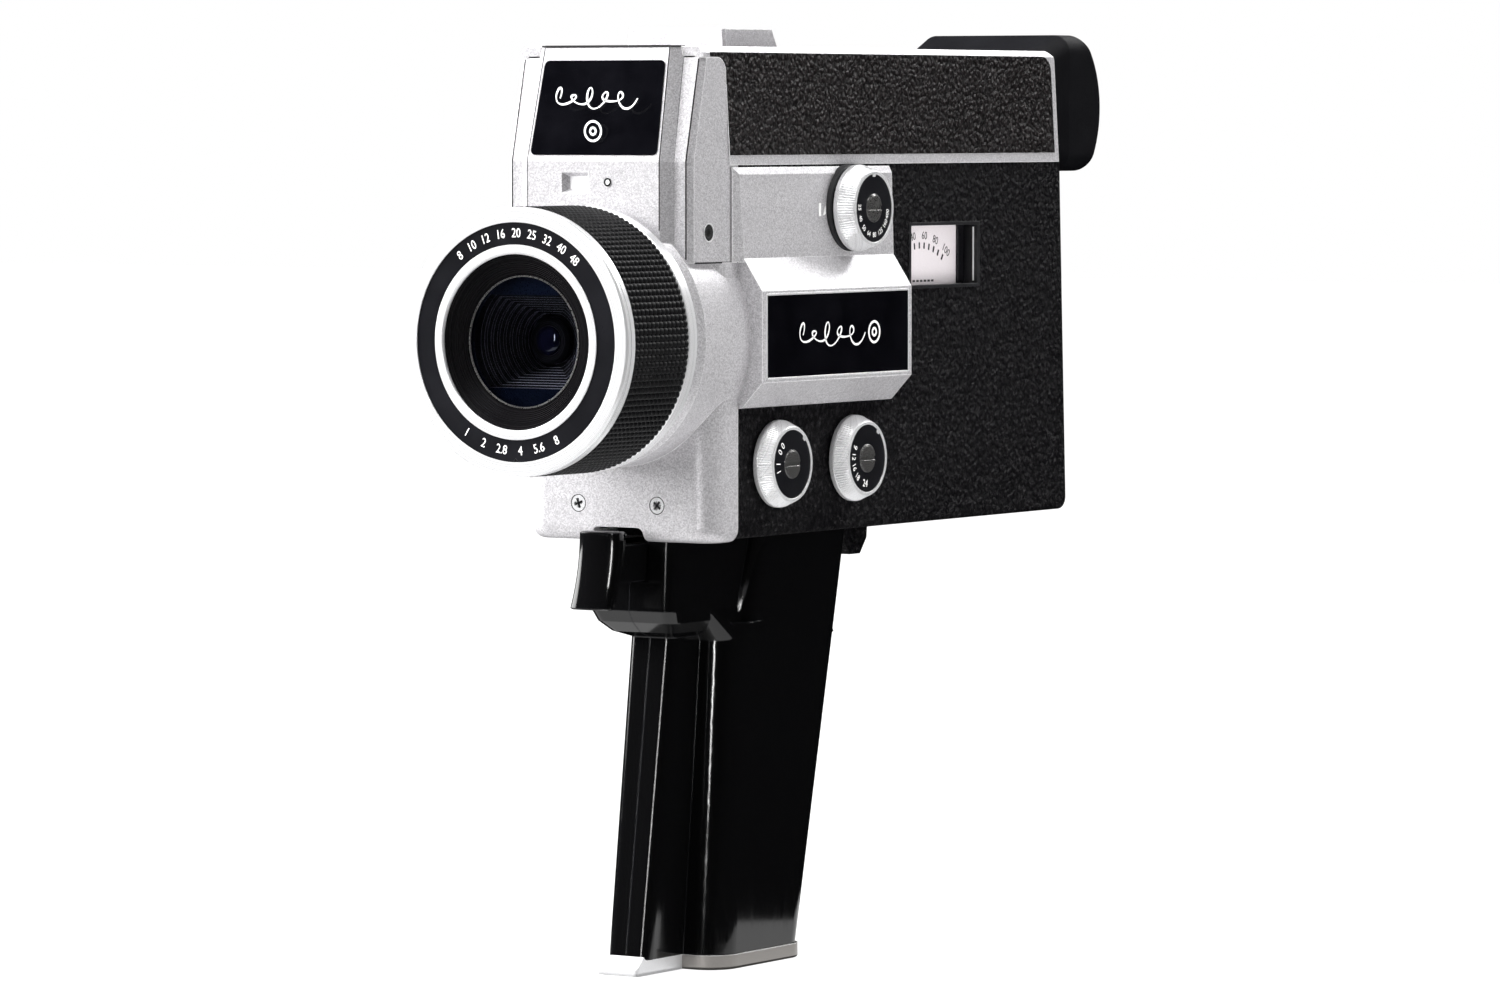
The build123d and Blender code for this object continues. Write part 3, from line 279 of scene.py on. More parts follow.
def leatherette():
    """Fine pebbled leather cloth, black with a brown cast, the pebble crowns shiny; painted shade in the
    hollows and painted glints as light specks.
    """
    f = Finish("leatherette", (0.016, 0.013, 0.013), 0.45)
    pebble = f.cells(1.25, "SMOOTH_F1", 0.3, vector=f.warped(2.2, 1.1)).outputs["Distance"]
    crease = f.noise(0.6, 3.0, 0.65)
    wide = f.noise(12.0, 3.0)
    height = f.calc("ADD", f.spread(pebble, 0.1, 0.75, 1.0, 0.0), f.calc("MULTIPLY", crease, 0.7))
    # Darker where the grain lies low: painted shade in the hollows between pebbles.
    body = f.tint(f.spread(height, 0.55, 1.25), (0.0018, 0.0015, 0.0015), (0.011, 0.009, 0.009))
    # Light specks over the grain: painted glints.
    painted_glint_specks = f.spread(f.noise(0.75, 3.0, 0.75), 0.57, 0.68)
    with_painted_glints = f.tint(painted_glint_specks, body, (0.085, 0.076, 0.076))
    f.paint(f.tint(f.spread(wide, 0.35, 0.7, 0.0, 0.35), with_painted_glints, (0.006, 0.005, 0.0055)))
    f.gloss(f.spread(height, 0.3, 1.2, 0.6, 0.3))
    f.set("Specular IOR Level", 0.22)
    f.shape(f.relief(height, 0.42))
    return f.material


def crackle_black():
    """Coarse crackle grain moulded in black plastic, shiny where it stands high; painted shade in the
    hollows and painted glints as light specks.
    """
    f = Finish("crackle_black", (0.012, 0.012, 0.014), 0.4)
    lumps = f.cells(1.45, "SMOOTH_F1", 0.22, vector=f.warped(1.7, 1.3)).outputs["Distance"]
    fine = f.noise(0.5, 3.0, 0.7)
    wide = f.noise(18.0, 3.0)
    height = f.calc("ADD", f.spread(lumps, 0.08, 0.7, 1.0, 0.0), f.calc("MULTIPLY", fine, 0.9))
    # Darker where the grain lies low: painted shade in the hollows.
    body = f.tint(f.spread(height, 0.6, 1.5), (0.0011, 0.001, 0.0014), (0.006, 0.0055, 0.0065))
    # Light specks over the grain: painted glints.
    painted_glint_specks = f.spread(f.noise(0.95, 3.0, 0.75), 0.58, 0.69)
    with_painted_glints = f.tint(painted_glint_specks, body, (0.036, 0.034, 0.036))
    f.paint(f.tint(f.spread(wide, 0.35, 0.7, 0.0, 0.35), with_painted_glints, (0.003, 0.003, 0.0035)))
    f.gloss(f.spread(height, 0.5, 1.5, 0.6, 0.25))
    f.set("Specular IOR Level", 0.16)
    f.shape(f.relief(height, 0.5))
    return f.material


def ribbed_rubber():
    f = Finish("ribbed_rubber", (0.012, 0.012, 0.0125), 0.5)
    dust = f.noise(0.35, 3.0, 0.7)
    # Sharp rib edges painted lighter: a painted highlight.
    edge_highlight_paint = f.tint(f.edges(0.12), (0.0035, 0.0035, 0.004), (0.034, 0.033, 0.034))
    f.paint(f.tint(f.spread(dust, 0.55, 0.8), edge_highlight_paint, (0.008, 0.008, 0.008)))
    f.gloss(f.spread(dust, 0.3, 0.7, 0.36, 0.6))
    f.set("Specular IOR Level", 0.3)
    f.shape(f.relief(dust, 0.012))
    return f.material


def eyecup_rubber():
    f = Finish("eyecup_rubber", (0.010, 0.010, 0.011), 0.62)
    grain = f.noise(0.3, 4.0, 0.7)
    bloom = f.noise(11.0, 3.0)
    f.paint(f.tint(f.spread(bloom, 0.4, 0.7), (0.0022, 0.0022, 0.003), (0.0036, 0.0036, 0.0046)))
    f.gloss(f.spread(grain, 0.3, 0.7, 0.54, 0.72))
    f.shape(f.relief(grain, 0.012, f.round_edges(0.8)))
    f.set("Specular IOR Level", 0.1)
    return f.material


def steel(name, colour, roughness, centre=None):
    """Turned steel; circles about centre when one is given, else an even polish."""
    f = Finish(name, colour, roughness, 0.95)
    if centre:
        radius = f.radius_from("X", centre)
        lines = f.add("ShaderNodeTexNoise", noise_dimensions="1D")
        lines.inputs["Scale"].default_value = 1.0 / (0.1 * MM)
        f.join(radius, lines.inputs["W"])
        pattern = lines.outputs["Fac"]
    else:
        pattern = f.noise(0.25, 3.0, 0.6)
    f.gloss(f.spread(pattern, 0.3, 0.7, roughness * 0.7, roughness * 1.4))
    darker = tuple(c * 0.8 for c in colour)
    f.paint(f.tint(f.spread(pattern, 0.35, 0.7), colour, darker))
    f.shape(f.relief(pattern, 0.003, f.round_edges(0.12)))
    return f.material


def clear(name, tone, mirror, roughness=0.02):
    """Clear pane: sees through, with a reflection that grows at grazing angles."""
    f = Finish(name, tone, roughness)
    through = f.add("ShaderNodeBsdfTransparent")
    through.inputs["Color"].default_value = tuple(tone) + (1.0,)
    glossy = f.add("ShaderNodeBsdfGlossy")
    glossy.inputs["Roughness"].default_value = roughness
    glossy.inputs["Color"].default_value = tuple(mirror) + (1.0,)
    smear = f.noise(6.0, 4.0, 0.7)
    f.join(f.relief(smear, 0.004), glossy.inputs["Normal"])
    fresnel = f.add("ShaderNodeFresnel")
    fresnel.inputs["IOR"].default_value = 1.35
    facing = f.add("ShaderNodeNewGeometry")
    outside = f.calc("SUBTRACT", 1.0, facing.outputs["Backfacing"])
    mix = f.add("ShaderNodeMixShader")
    f.join(f.calc("MULTIPLY", fresnel.outputs["Fac"], outside), mix.inputs["Fac"])
    f.join(through.outputs["BSDF"], mix.inputs[1])
    f.join(glossy.outputs["BSDF"], mix.inputs[2])
    output = next(node for node in f.tree.nodes if node.type == "OUTPUT_MATERIAL")
    f.join(mix.outputs["Shader"], output.inputs["Surface"])
    return f.material


def printed(name, colour, roughness=0.5):
    """Screen-printed ink or card, with a slightly uneven tone."""
    f = Finish(name, colour, roughness)
    fibre = f.noise(0.4, 4.0, 0.7)
    darker = tuple(c * 0.93 for c in colour)
    f.paint(f.tint(f.spread(fibre, 0.35, 0.7), colour, darker))
    f.gloss(f.spread(fibre, 0.3, 0.7, roughness * 0.85, roughness * 1.1))
    f.shape(f.relief(fibre, 0.003))
    return f.material


def plated(name, colour, metallic):
    """Satin plated metal, with a painted highlight along its sharp edges."""
    f = Finish(name, colour, 0.34, metallic)
    grain = f.noise(0.25, 3.0, 0.6)
    # Sharp edges painted near white and less metallic: a painted highlight.
    painted_edge_highlight = f.edges(0.3)
    darker = tuple(c * 0.75 for c in colour)
    lighter = tuple(c * 1.1 for c in colour)
    f.paint(f.tint(painted_edge_highlight, f.tint(grain, darker, lighter), (0.9, 0.9, 0.91)))
    f.join(f.spread(painted_edge_highlight, 0.0, 1.0, metallic, 0.2), f.shader.inputs["Metallic"])
    f.gloss(f.spread(grain, 0.3, 0.7, 0.28, 0.42))
    f.shape(f.relief(grain, 0.006, f.round_edges(0.4)))
    return f.material


def black_optics():
    """Black anodised optics with faint turned rings."""
    f = Finish("black_optics", (0.009, 0.009, 0.010), 0.34)
    radius = f.radius_from("Y", (0, 0, AXIS_Z))
    wave = f.add("ShaderNodeTexNoise", noise_dimensions="1D")
    wave.inputs["Scale"].default_value = 1.0 / (0.2 * MM)
    f.join(f.calc("ADD", radius, f.along("Y")), wave.inputs["W"])
    rings = wave.outputs["Fac"]
    f.paint(f.tint(rings, (0.0015, 0.0015, 0.002), (0.006, 0.0055, 0.006)))
    f.gloss(f.spread(rings, 0.3, 0.7, 0.22, 0.36))
    f.set("Specular IOR Level", 0.12)
    f.shape(f.relief(rings, 0.008))
    return f.material


def hood_black():
    """Stepped hood: dark navy coating on its front face, black inside, with painted glints along the step
    edges.
    """
    f = Finish("hood_black", (0.008, 0.008, 0.010), 0.3)
    front = f.spread(f.along("Y"), back(5.22), back(5.25), 1.0, 0.0)
    dust = f.noise(0.3, 3.0)
    inside = f.tint(dust, (0.001, 0.001, 0.001), (0.003, 0.0028, 0.003))
    # Step edges painted light grey: painted glints.
    with_painted_step_glints = f.tint(f.edges(0.12), inside, (0.22, 0.21, 0.24))
    f.paint(f.tint(front, with_painted_step_glints, (0.0015, 0.0026, 0.0065)))
    f.gloss(f.spread(dust, 0.3, 0.7, 0.24, 0.36))
    f.set("Specular IOR Level", 0.12)
    f.shape(f.relief(dust, 0.004, f.round_edges(0.1)))
    return f.material


def circuit_board():
    f = Finish("circuit_board", (0.02, 0.12, 0.05), 0.35)
    tracks = f.cells(1.2, "DISTANCE_TO_EDGE").outputs["Distance"]
    f.paint(f.tint(f.spread(tracks, 0.02, 0.06), (0.05, 0.2, 0.09), (0.015, 0.10, 0.045)))
    f.shape(f.relief(tracks, 0.02))
    return f.material


def battery_sleeve():
    f = Finish("battery_sleeve", (0.05, 0.12, 0.3), 0.3)
    wrinkle = f.noise(2.5, 3.0, 0.6, (1.0, 1.0, 0.3))
    f.paint(f.tint(wrinkle, (0.04, 0.1, 0.26), (0.07, 0.15, 0.35)))
    f.shape(f.relief(wrinkle, 0.05))
    return f.material


finishes = {
    "silver_paint": silver_paint(),
    "bright_ring": bright_ring(),
    "black_ring": smooth_black("black_ring", (0.003, 0.003, 0.004), 0.32),
    "black_optics": black_optics(),
    "coated_glass": clear("coated_glass", (0.93, 0.95, 1.0), (0.5, 0.55, 0.8)),
    "circuit_board": circuit_board(),
    "ribbed_rubber": ribbed_rubber(),
    "nameplate_black": smooth_black("nameplate_black", (0.0012, 0.0012, 0.0018), 0.12, 2.0, 0.003,
                                    (0.02, 0.02, 0.02)),
    "window_white": printed("window_white", (0.80, 0.80, 0.81), 0.4),
    "lamp_lens": printed("lamp_lens", (0.75, 0.75, 0.74), 0.2),
    "soft_rubber": smooth_black("soft_rubber", (0.010, 0.010, 0.010), 0.6),
    "bright_steel": steel("bright_steel", (0.55, 0.54, 0.53), 0.28),
    "leatherette": leatherette(),
    "crackle_black": crackle_black(),
    "matte_black": smooth_black("matte_black", (0.005, 0.005, 0.006), 0.55, 0.4, 0.01),
    "dial_silver": bright_ring(),
    "dial_black": smooth_black("dial_black", (0.003, 0.003, 0.004), 0.4),
    "scale_card": printed("scale_card", (0.86, 0.80, 0.79), 0.55),
    "clear_window": clear("clear_window", (0.96, 0.96, 0.97), (0.8, 0.8, 0.8)),
    "needle_red": printed("needle_red", (0.50, 0.03, 0.02), 0.3),
    "eyecup_rubber": eyecup_rubber(),
    "gloss_black": gloss_black(),
    "battery_sleeve": battery_sleeve(),
    "base_metal": plated("base_metal", (0.66, 0.66, 0.67), 0.55),
    "bush_brass": steel("bush_brass", (0.66, 0.48, 0.22), 0.3),
}


def wear(obj, material):
    """Give a mesh one material in every slot."""
    if not obj.data.materials:
        obj.data.materials.append(material)
    for index in range(len(obj.data.materials)):
        obj.data.materials[index] = material


for subpart in frame["record"]["subparts"]:
    wear(nodes[subpart["node"]], finishes[subpart["material_slot"]])
wear(nodes["light_hood"], hood_black())
wear(nodes["case_screws"], finishes["bright_ring"])
wear(nodes["base_plate"], plated("base_plate_metal", (0.30, 0.285, 0.27), 0.9))

# ---------------------------------------------------------------- mesh helpers

FACING_FRONT = Matrix(((1, 0, 0), (0, 0, -1), (0, 1, 0)))
FACING_RIGHT = Matrix(((0, 0, 1), (1, 0, 0), (0, 1, 0)))


def piece(name, points, faces, body, slot, material=None, smooth=40.0):
    """New object of the camera from points in metres, riding on a body."""
    mesh = bpy.data.meshes.new(name)
    mesh.from_pydata(points, [], faces)
    work = bmesh.new()
    work.from_mesh(mesh)
    bmesh.ops.remove_doubles(work, verts=work.verts, dist=1e-7)
    bmesh.ops.recalc_face_normals(work, faces=work.faces)
    work.to_mesh(mesh)
    work.free()
    mesh.shade_smooth()
    mesh.set_sharp_from_angle(angle=math.radians(smooth))
    obj = bpy.data.objects.new(name, mesh)
    bpy.context.scene.collection.objects.link(obj)
    wear(obj, material or finishes[slot])
    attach(obj, body)
    return obj


def turned(outline, centre, axis, steps, lift=None):
    """Points and faces of a closed (along, radius) outline in mm, turned about an axis.

    lift(turn, along, radius) changes the radius.
    """
    points = []
    faces = []
    count = len(outline)
    for step in range(steps):
        turn = 2 * math.pi * step / steps
        for along, radius in outline:
            if lift:
                radius = lift(turn, along, radius)
            side = radius * MM * math.sin(turn)
            rise = radius * MM * math.cos(turn)
            if axis == "Y":
                points.append((centre[0] + side, centre[1] + along * MM, centre[2] + rise))
            else:
                points.append((centre[0] + along * MM, centre[1] + side, centre[2] + rise))
    for step in range(steps):
        after = (step + 1) % steps
        for index in range(count):
            follow = (index + 1) % count
            faces.append((step * count + index, step * count + follow,
                          after * count + follow, after * count + index))
    return points, faces


def extruded(outline, depth, turn, origin):
    """Flat closed outline in mm given thickness, faced by turn and put at origin."""
    count = len(outline)
    points = [turn @ Vector((x * MM, y * MM, 0)) + origin for x, y in outline]
    points += [turn @ Vector((x * MM, y * MM, depth * MM)) + origin for x, y in outline]
    faces = [tuple(range(count))[::-1], tuple(range(count, 2 * count))]
    faces += [(i, (i + 1) % count, count + (i + 1) % count, count + i) for i in range(count)]
    return points, faces


def joined(parts):
    """One list of points and faces from several."""
    points = []
    faces = []
    for some_points, some_faces in parts:
        start = len(points)
        points += list(some_points)
        faces += [tuple(index + start for index in face) for face in some_faces]
    return points, faces


def digits(text, height, depth, place, turn, origin, spin=0.0, width=1.0):
    """Printed characters as thin solids. place is (x, y) in mm on the face, spin is clockwise in radians."""
    curve = bpy.data.curves.new("digits", "FONT")
    curve.body = text
    curve.size = height * MM / 0.72
    curve.align_x = "CENTER"
    curve.align_y = "CENTER"
    curve.extrude = depth * MM / 2
    curve.resolution_u = 3
    holder = bpy.data.objects.new("digits", curve)
    mesh = bpy.data.meshes.new_from_object(holder)
    spun = Matrix.Rotation(-spin, 3, "Z") @ Matrix.Diagonal((width, 1.0, 1.0))
    offset = Vector((place[0] * MM, place[1] * MM, depth * MM / 2))
    points = [turn @ (spun @ vertex.co + offset) + origin for vertex in mesh.vertices]
    faces = [tuple(face.vertices) for face in mesh.polygons]
    bpy.data.objects.remove(holder)
    bpy.data.curves.remove(curve)
    bpy.data.meshes.remove(mesh)
    return points, faces


def stroke(line, width, depth, turn, origin):
    """Pen stroke along (x, y) points in mm, with its own width at each point."""
    count = len(line)
    left = []
    right = []
    for index, (x, y) in enumerate(line):
        before = line[max(index - 1, 0)]
        after = line[min(index + 1, count - 1)]
        run = Vector((after[0] - before[0], after[1] - before[1]))
        side = Vector((-run.y, run.x)).normalized() * width(index / (count - 1)) / 2
        left.append((x + side.x, y + side.y))
        right.append((x - side.x, y - side.y))
    parts = []
    for index in range(count - 1):
        quad = [right[index], right[index + 1], left[index + 1], left[index]]
        parts.append(quad)
    points = []
    faces = []
    for low in (0.0, depth):
        for x, y in left + right:
            points.append(turn @ Vector((x * MM, y * MM, low * MM)) + origin)
    top = 2 * count
    for index in range(count - 1):
        a, b = index, index + 1
        c, d = count + index + 1, count + index
        faces.append((a, b, c, d))
        faces.append((top + d, top + c, top + b, top + a))
        faces.append((a, b, top + b, top + a))
        faces.append((d, c, top + c, top + d))
    faces.append((0, count, top + count, top))
    faces.append((count - 1, 2 * count - 1, top + 2 * count - 1, top + count - 1))
    return points, faces


def block(low, high):
    """Six-sided solid between two corners in metres."""
    points = [(x, y, z) for x in (low[0], high[0]) for y in (low[1], high[1]) for z in (low[2], high[2])]
    faces = [(0, 1, 3, 2), (4, 6, 7, 5), (0, 4, 5, 1), (2, 3, 7, 6), (0, 2, 6, 4), (1, 5, 7, 3)]
    return points, faces


ink_white = printed("ink_white", (0.80, 0.80, 0.79), 0.4)
ink_black = printed("ink_black", (0.02, 0.02, 0.022), 0.5)

# ---------------------------------------------------------------- focus ring rubber

RIBS = 125
BANDS = 13
rubber_low, rubber_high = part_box("focus_rubber")
rubber_front = (rubber_low.y - FRONT) / MM
rubber_rear = (rubber_high.y - FRONT) / MM
rubber_radius = (rubber_high.x - rubber_low.x) / 2 / MM
rib_height = 0.62
band_pitch = (rubber_rear - rubber_front) / BANDS
RUBBER_INNER = 28.62

rubber_outline = [(rubber_rear, RUBBER_INNER), (rubber_front, RUBBER_INNER)]
for band in range(BANDS):
    start = rubber_front + band * band_pitch
    for share in (0.0, 0.12, 0.26, 0.74, 0.88):
        rubber_outline.append((start + share * band_pitch, rubber_radius))
rubber_outline.append((rubber_rear, rubber_radius))


def rib_shape(turn, along, radius):
    """Ribs around the ring, cut into rounded blocks along it."""
    if radius < rubber_radius - 1.0:
        return radius
    phase = (turn * RIBS / (2 * math.pi)) % 1.0
    across = max(0.0, math.sin(math.pi * phase)) ** 0.5
    share = ((along - rubber_front) / band_pitch) % 1.0
    near_groove = min(share, 1.0 - share)
    lengthways = min(1.0, near_groove / 0.12) if near_groove < 0.12 else 1.0
    lengthways = 0.0 if near_groove < 0.01 else (0.75 if near_groove < 0.2 else 1.0)
    return rubber_radius - rib_height + rib_height * across * lengthways


rubber_steps = RIBS * 6
points, faces = turned(rubber_outline, (0, FRONT, AXIS_Z), "Y", rubber_steps, rib_shape)
rubber = piece("focus_rubber_ribs", points, faces, "focus_ring", "ribbed_rubber", smooth=70.0)
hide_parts("focus_rubber")

# ---------------------------------------------------------------- dials

KNURLS = 96
TOOTH_DEPTH = 0.3
notch_turns = {"power_dial": math.radians(42), "rate_dial": math.radians(38), "filter_dial": 0.0}


def knurled_dial(name):
    """Knob with a plain lower band, a finely knurled cone and a bright rim with an index nib."""
    low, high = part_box(name)
    centre_y = (low.y + high.y) / 2
    centre_z = (low.z + high.z) / 2
    outer = (high.z - low.z) / 2 / MM
    face = high.x / MM
    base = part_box("filter_base_disc")[1].x / MM + 0.3 if name == "filter_dial" else face - 4.7
    rim_outer = 8.6
    rim_inner = 7.83
    outline = [
        (base, 6.0),
        (base, outer - 0.7),
        (base + 0.12, outer - 0.3),
        (base + 0.4, outer),
        (base + 1.35, outer),
        (base + 1.5, outer - 0.12),
        (base + 1.65, outer + 0.0),
        (base + 2.2, outer - 0.3),
        (face - 0.45, rim_outer + 0.25),
        (face - 0.15, rim_outer + 0.05),
        (face, rim_outer - 0.15),
        (face, rim_inner + 0.05),
        (face - 0.05, rim_inner),
        (face - 0.5, rim_inner),
        (face - 0.5, 6.0),
    ]
    knurl_low = base + 1.6
    knurl_high = face - 0.4

    def teeth(turn, along, radius):
        if radius < rim_outer or along < knurl_low or along > knurl_high:
            return radius
        phase = (turn * KNURLS / (2 * math.pi)) % 1.0
        return radius - TOOTH_DEPTH + TOOTH_DEPTH * abs(math.sin(math.pi * phase))

    points, faces = turned(outline, (0, centre_y, centre_z), "X", KNURLS * 6, teeth)
    dial = piece(name + "_knob", points, faces, name, "dial_silver", smooth=25.0)
    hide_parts(name)
    turn = notch_turns[name]
    nib_root = rim_inner + 0.15
    nib_tip = rim_inner - 0.62
    nib = [(-0.75, nib_root), (0.75, nib_root), (0.42, nib_tip), (-0.42, nib_tip)]
    spun = [(x * math.cos(turn) + y * math.sin(turn), -x * math.sin(turn) + y * math.cos(turn))
            for x, y in nib]
    origin = Vector(((face - 0.3) * MM, centre_y, centre_z))
    points, faces = extruded(spun, 0.3, FACING_RIGHT, origin)
    piece(name + "_nib", points, faces, name, "dial_silver")
    return face, centre_y, centre_z


def dial_print(name, face, centre_y, centre_z, marks):
    """White marks around a dial's black disc: (text, clockwise turn in degrees, height, ring radius)."""
    origin = Vector(((face - 0.21) * MM, centre_y, centre_z))
    parts = []
    for text, degrees, height, ring in marks:
        turn = math.radians(degrees)
        place = (ring * math.sin(turn), ring * math.cos(turn))
        parts.append(digits(text, height, 0.02, place, FACING_RIGHT, origin, turn - math.pi, 0.9))
    points, faces = joined(parts)
    piece(name + "_print", points, faces, name, "dial_black", ink_white)


dial_marks = {
    "power_dial": [("0", -60, 1.7, 5.9), ("0", -42, 1.7, 5.9), ("1", -88, 1.7, 5.9), ("1", -106, 1.7, 5.9)],
    "rate_dial": [("9", -62, 1.7, 5.9), ("12", -84, 1.5, 5.9), ("16", -108, 1.5, 5.9),
                  ("18", -134, 1.5, 5.9), ("24", -172, 1.7, 5.9)],
    "filter_dial": [("25", -88, 1.2, 6.2), ("40", -112, 1.2, 6.2), ("50", -137, 1.2, 6.2),
                    ("64", -160, 1.2, 6.2), ("80", 177, 1.2, 6.2), ("125", 152, 1.2, 6.2),
                    ("160", 126, 1.2, 6.2), ("400", 103, 1.2, 6.2)],
}
for dial_name, marks in dial_marks.items():
    face, centre_y, centre_z = knurled_dial(dial_name)
    dial_print(dial_name, face, centre_y, centre_z, marks)

# ---------------------------------------------------------------- name ring scale

ring_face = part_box("name_ring")[0].y
ring_origin = Vector((0, ring_face, AXIS_Z))
RING_TEXT = 24.2
parts = []
top_scale = [("8", -38), ("10", -29), ("12", -19.5), ("16", -9.5), ("20", 0.5), ("25", 10.5),
             ("32", 20.5), ("40", 30.5), ("48", 40.5)]
for text, degrees in top_scale:
    turn = math.radians(degrees)
    place = (RING_TEXT * math.sin(turn), RING_TEXT * math.cos(turn))
    parts.append(digits(text, 2.1, 0.02, place, FACING_FRONT, ring_origin, turn, 0.85))
low_scale = [("1", -33), ("2", -21), ("2.8", -9), ("4", 3), ("5.6", 15), ("8", 27)]
for text, degrees in low_scale:
    turn = math.radians(degrees)
    place = (RING_TEXT * math.sin(turn), -RING_TEXT * math.cos(turn))
    parts.append(digits(text, 2.1, 0.02, place, FACING_FRONT, ring_origin, -turn, 0.85))
points, faces = joined(parts)
piece("name_ring_print", points, faces, "camera", "black_ring", ink_white)

# ---------------------------------------------------------------- nameplates


def flourish(width, height):
    """A run of slanting pen loops with a long first and last swash, as (x, y) points."""
    line = []
    loops = 5
    samples = 36 * loops
    for index in range(samples + 1):
        share = index / samples
        angle = 2 * math.pi * loops * share
        size = 0.5 + 0.28 * math.cos(2 * math.pi * share * 2.0)
        y = size * height * 0.62 * math.sin(angle)
        x = (share - 0.5) * width + 0.075 * width * math.cos(angle) + 0.25 * y
        line.append((x, y))
    return line


def pen(share):
    return 0.30 + 0.22 * math.sin(share * math.pi * 9.0) ** 2


def ring_line(place, radius):
    """Circle as a closed pen line."""
    steps = 48
    return [(place[0] + radius * math.cos(2 * math.pi * step / steps),
             place[1] + radius * math.sin(2 * math.pi * step / steps)) for step in range(steps + 1)]


def moved(line, dx, dy):
    return [(x + dx, y + dy) for x, y in line]


def plate_motif(name, turn, face, lines):
    origin = Vector(face)
    parts = [stroke(line, width, 0.02, turn, origin) for line, width in lines]
    points, faces = joined(parts)
    piece(name, points, faces, "camera", "nameplate_black", ink_white)


front_low, front_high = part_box("front_nameplate")
front_centre_z = (front_low.z + front_high.z) / 2
plate_motif("front_plate_motif", FACING_FRONT,
            (0, front_low.y, front_centre_z), [
                (moved(flourish(21.0, 5.2), 0, 2.2), pen),
                (ring_line((0, -5.2), 2.2), lambda share: 0.5),
                (ring_line((0, -5.2), 0.75), lambda share: 0.5),
            ])
side_low, side_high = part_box("side_nameplate")
side_centre = (side_high.x, (side_low.y + side_high.y) / 2, (side_low.z + side_high.z) / 2)
plate_motif("side_plate_motif", FACING_RIGHT, side_centre, [
    (moved(flourish(27.0, 6.0), -4.0, 0), pen),
    (ring_line((15.5, 0), 2.4), lambda share: 0.55),
    (ring_line((15.5, 0), 0.85), lambda share: 0.55),
])

# ---------------------------------------------------------------- counter

card_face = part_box("counter_card")[1].x
SCALE_DEPTH = 138.2
SCALE_RADIUS = 18.3
SCALE_START = -8.6
SCALE_STEP = 6.9
TICK_HALF = 0.75
NUMBER_GAP = 2.3
INK_DEPTH = 0.03
scale_middle = Vector((card_face, back(SCALE_DEPTH), up(1.3)))
parts = []
for step in range(7):
    turn = math.radians(SCALE_START + SCALE_STEP * step)
    inner = SCALE_RADIUS - TICK_HALF
    outer = SCALE_RADIUS + TICK_HALF
    line = [(inner * math.sin(turn), inner * math.cos(turn)),
            (outer * math.sin(turn), outer * math.cos(turn))]
    parts.append(stroke(line, lambda share: 0.6, INK_DEPTH, FACING_RIGHT, scale_middle))
for text, degrees in (("40", -9.6), ("60", 5.0), ("80", 19.3), ("100", 34.4)):
    turn = math.radians(degrees)
    ring = SCALE_RADIUS + NUMBER_GAP
    place = (ring * math.sin(turn), ring * math.cos(turn))
    parts.append(digits(text, 1.9, INK_DEPTH, place, FACING_RIGHT, scale_middle, turn, 0.95))
# Plain dashes along the foot of the card
DASH_START = 134.6
DASH_STEP = 1.7
DASH_HEIGHT = 9.9
for step in range(6):
    dash_start = DASH_START + DASH_STEP * step - SCALE_DEPTH
    dash = [(dash_start, DASH_HEIGHT), (dash_start + 1.1, DASH_HEIGHT)]
    parts.append(stroke(dash, lambda share: 0.5, INK_DEPTH, FACING_RIGHT, scale_middle))
points, faces = joined(parts)
piece("counter_print", points, faces, "camera", "scale_card", ink_black)

window_low, window_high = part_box("counter_window")
mask_front = (window_high.y - FRONT) / MM - 2.5
mask = block((card_face, back(mask_front), window_low.z),
             (card_face + 0.6 * MM, window_high.y, window_high.z))
piece("card_edge_mask", mask[0], mask[1], "camera", "matte_black")
# White strip along the window's inner edge: a painted highlight where the glass edge catches light.
painted_glass_edge_highlight = block((window_low.x - 0.2 * MM, window_high.y - 0.12 * MM, window_low.z + 0.6 * MM),
                   (window_low.x + 0.15 * MM, window_high.y, window_high.z - 0.6 * MM))
piece("window_edge_highlight", painted_glass_edge_highlight[0], painted_glass_edge_highlight[1], "camera", "clear_window", ink_white)

# ---------------------------------------------------------------- trigger


def at(x, depth, height):
    """Point from millimetres: across, behind the front ring and above the lens axis."""
    return Vector((x * MM, back(depth), up(height)))


def skinned(rings):
    """Closed skin over rings of equally many points, capped at both ends."""
    count = len(rings[0])
    points = [point for ring in rings for point in ring]
    faces = [tuple(range(count)), tuple(range(len(points) - count, len(points)))[::-1]]
    for level in range(len(rings) - 1):
        low = level * count
        high = low + count
        for index in range(count):
            follow = (index + 1) % count
            faces.append((low + index, high + index, high + follow, low + follow))
    return points, faces


TRIGGER_HALF = 5.4
TRIGGER_TOP = -43.7
TRIGGER_FOOT = -61.3
CROWN = 1.6


def trigger_ring(height, inset):
    """Level section of the blade: crowned in front, flat behind, drawn in by inset."""
    share = (TRIGGER_TOP - height) / (TRIGGER_TOP - TRIGGER_FOOT)
    front = 32.2 + 0.2 * share - 4.2 * share * share + inset
    rear = 36.6 + 0.94 * share - 5.9 * share * share - inset
    half = TRIGGER_HALF - inset
    ring = []
    steps = 24
    for step in range(steps + 1):
        turn = math.pi * (step / steps - 0.5)
        ring.append(at(half * math.sin(turn), front + CROWN * (1.0 - math.cos(turn)), height))
    for x, depth in ((half, rear - 0.5), (half - 0.5, rear), (0.5 - half, rear), (-half, rear - 0.5)):
        ring.append(at(x, depth, height))
    return ring


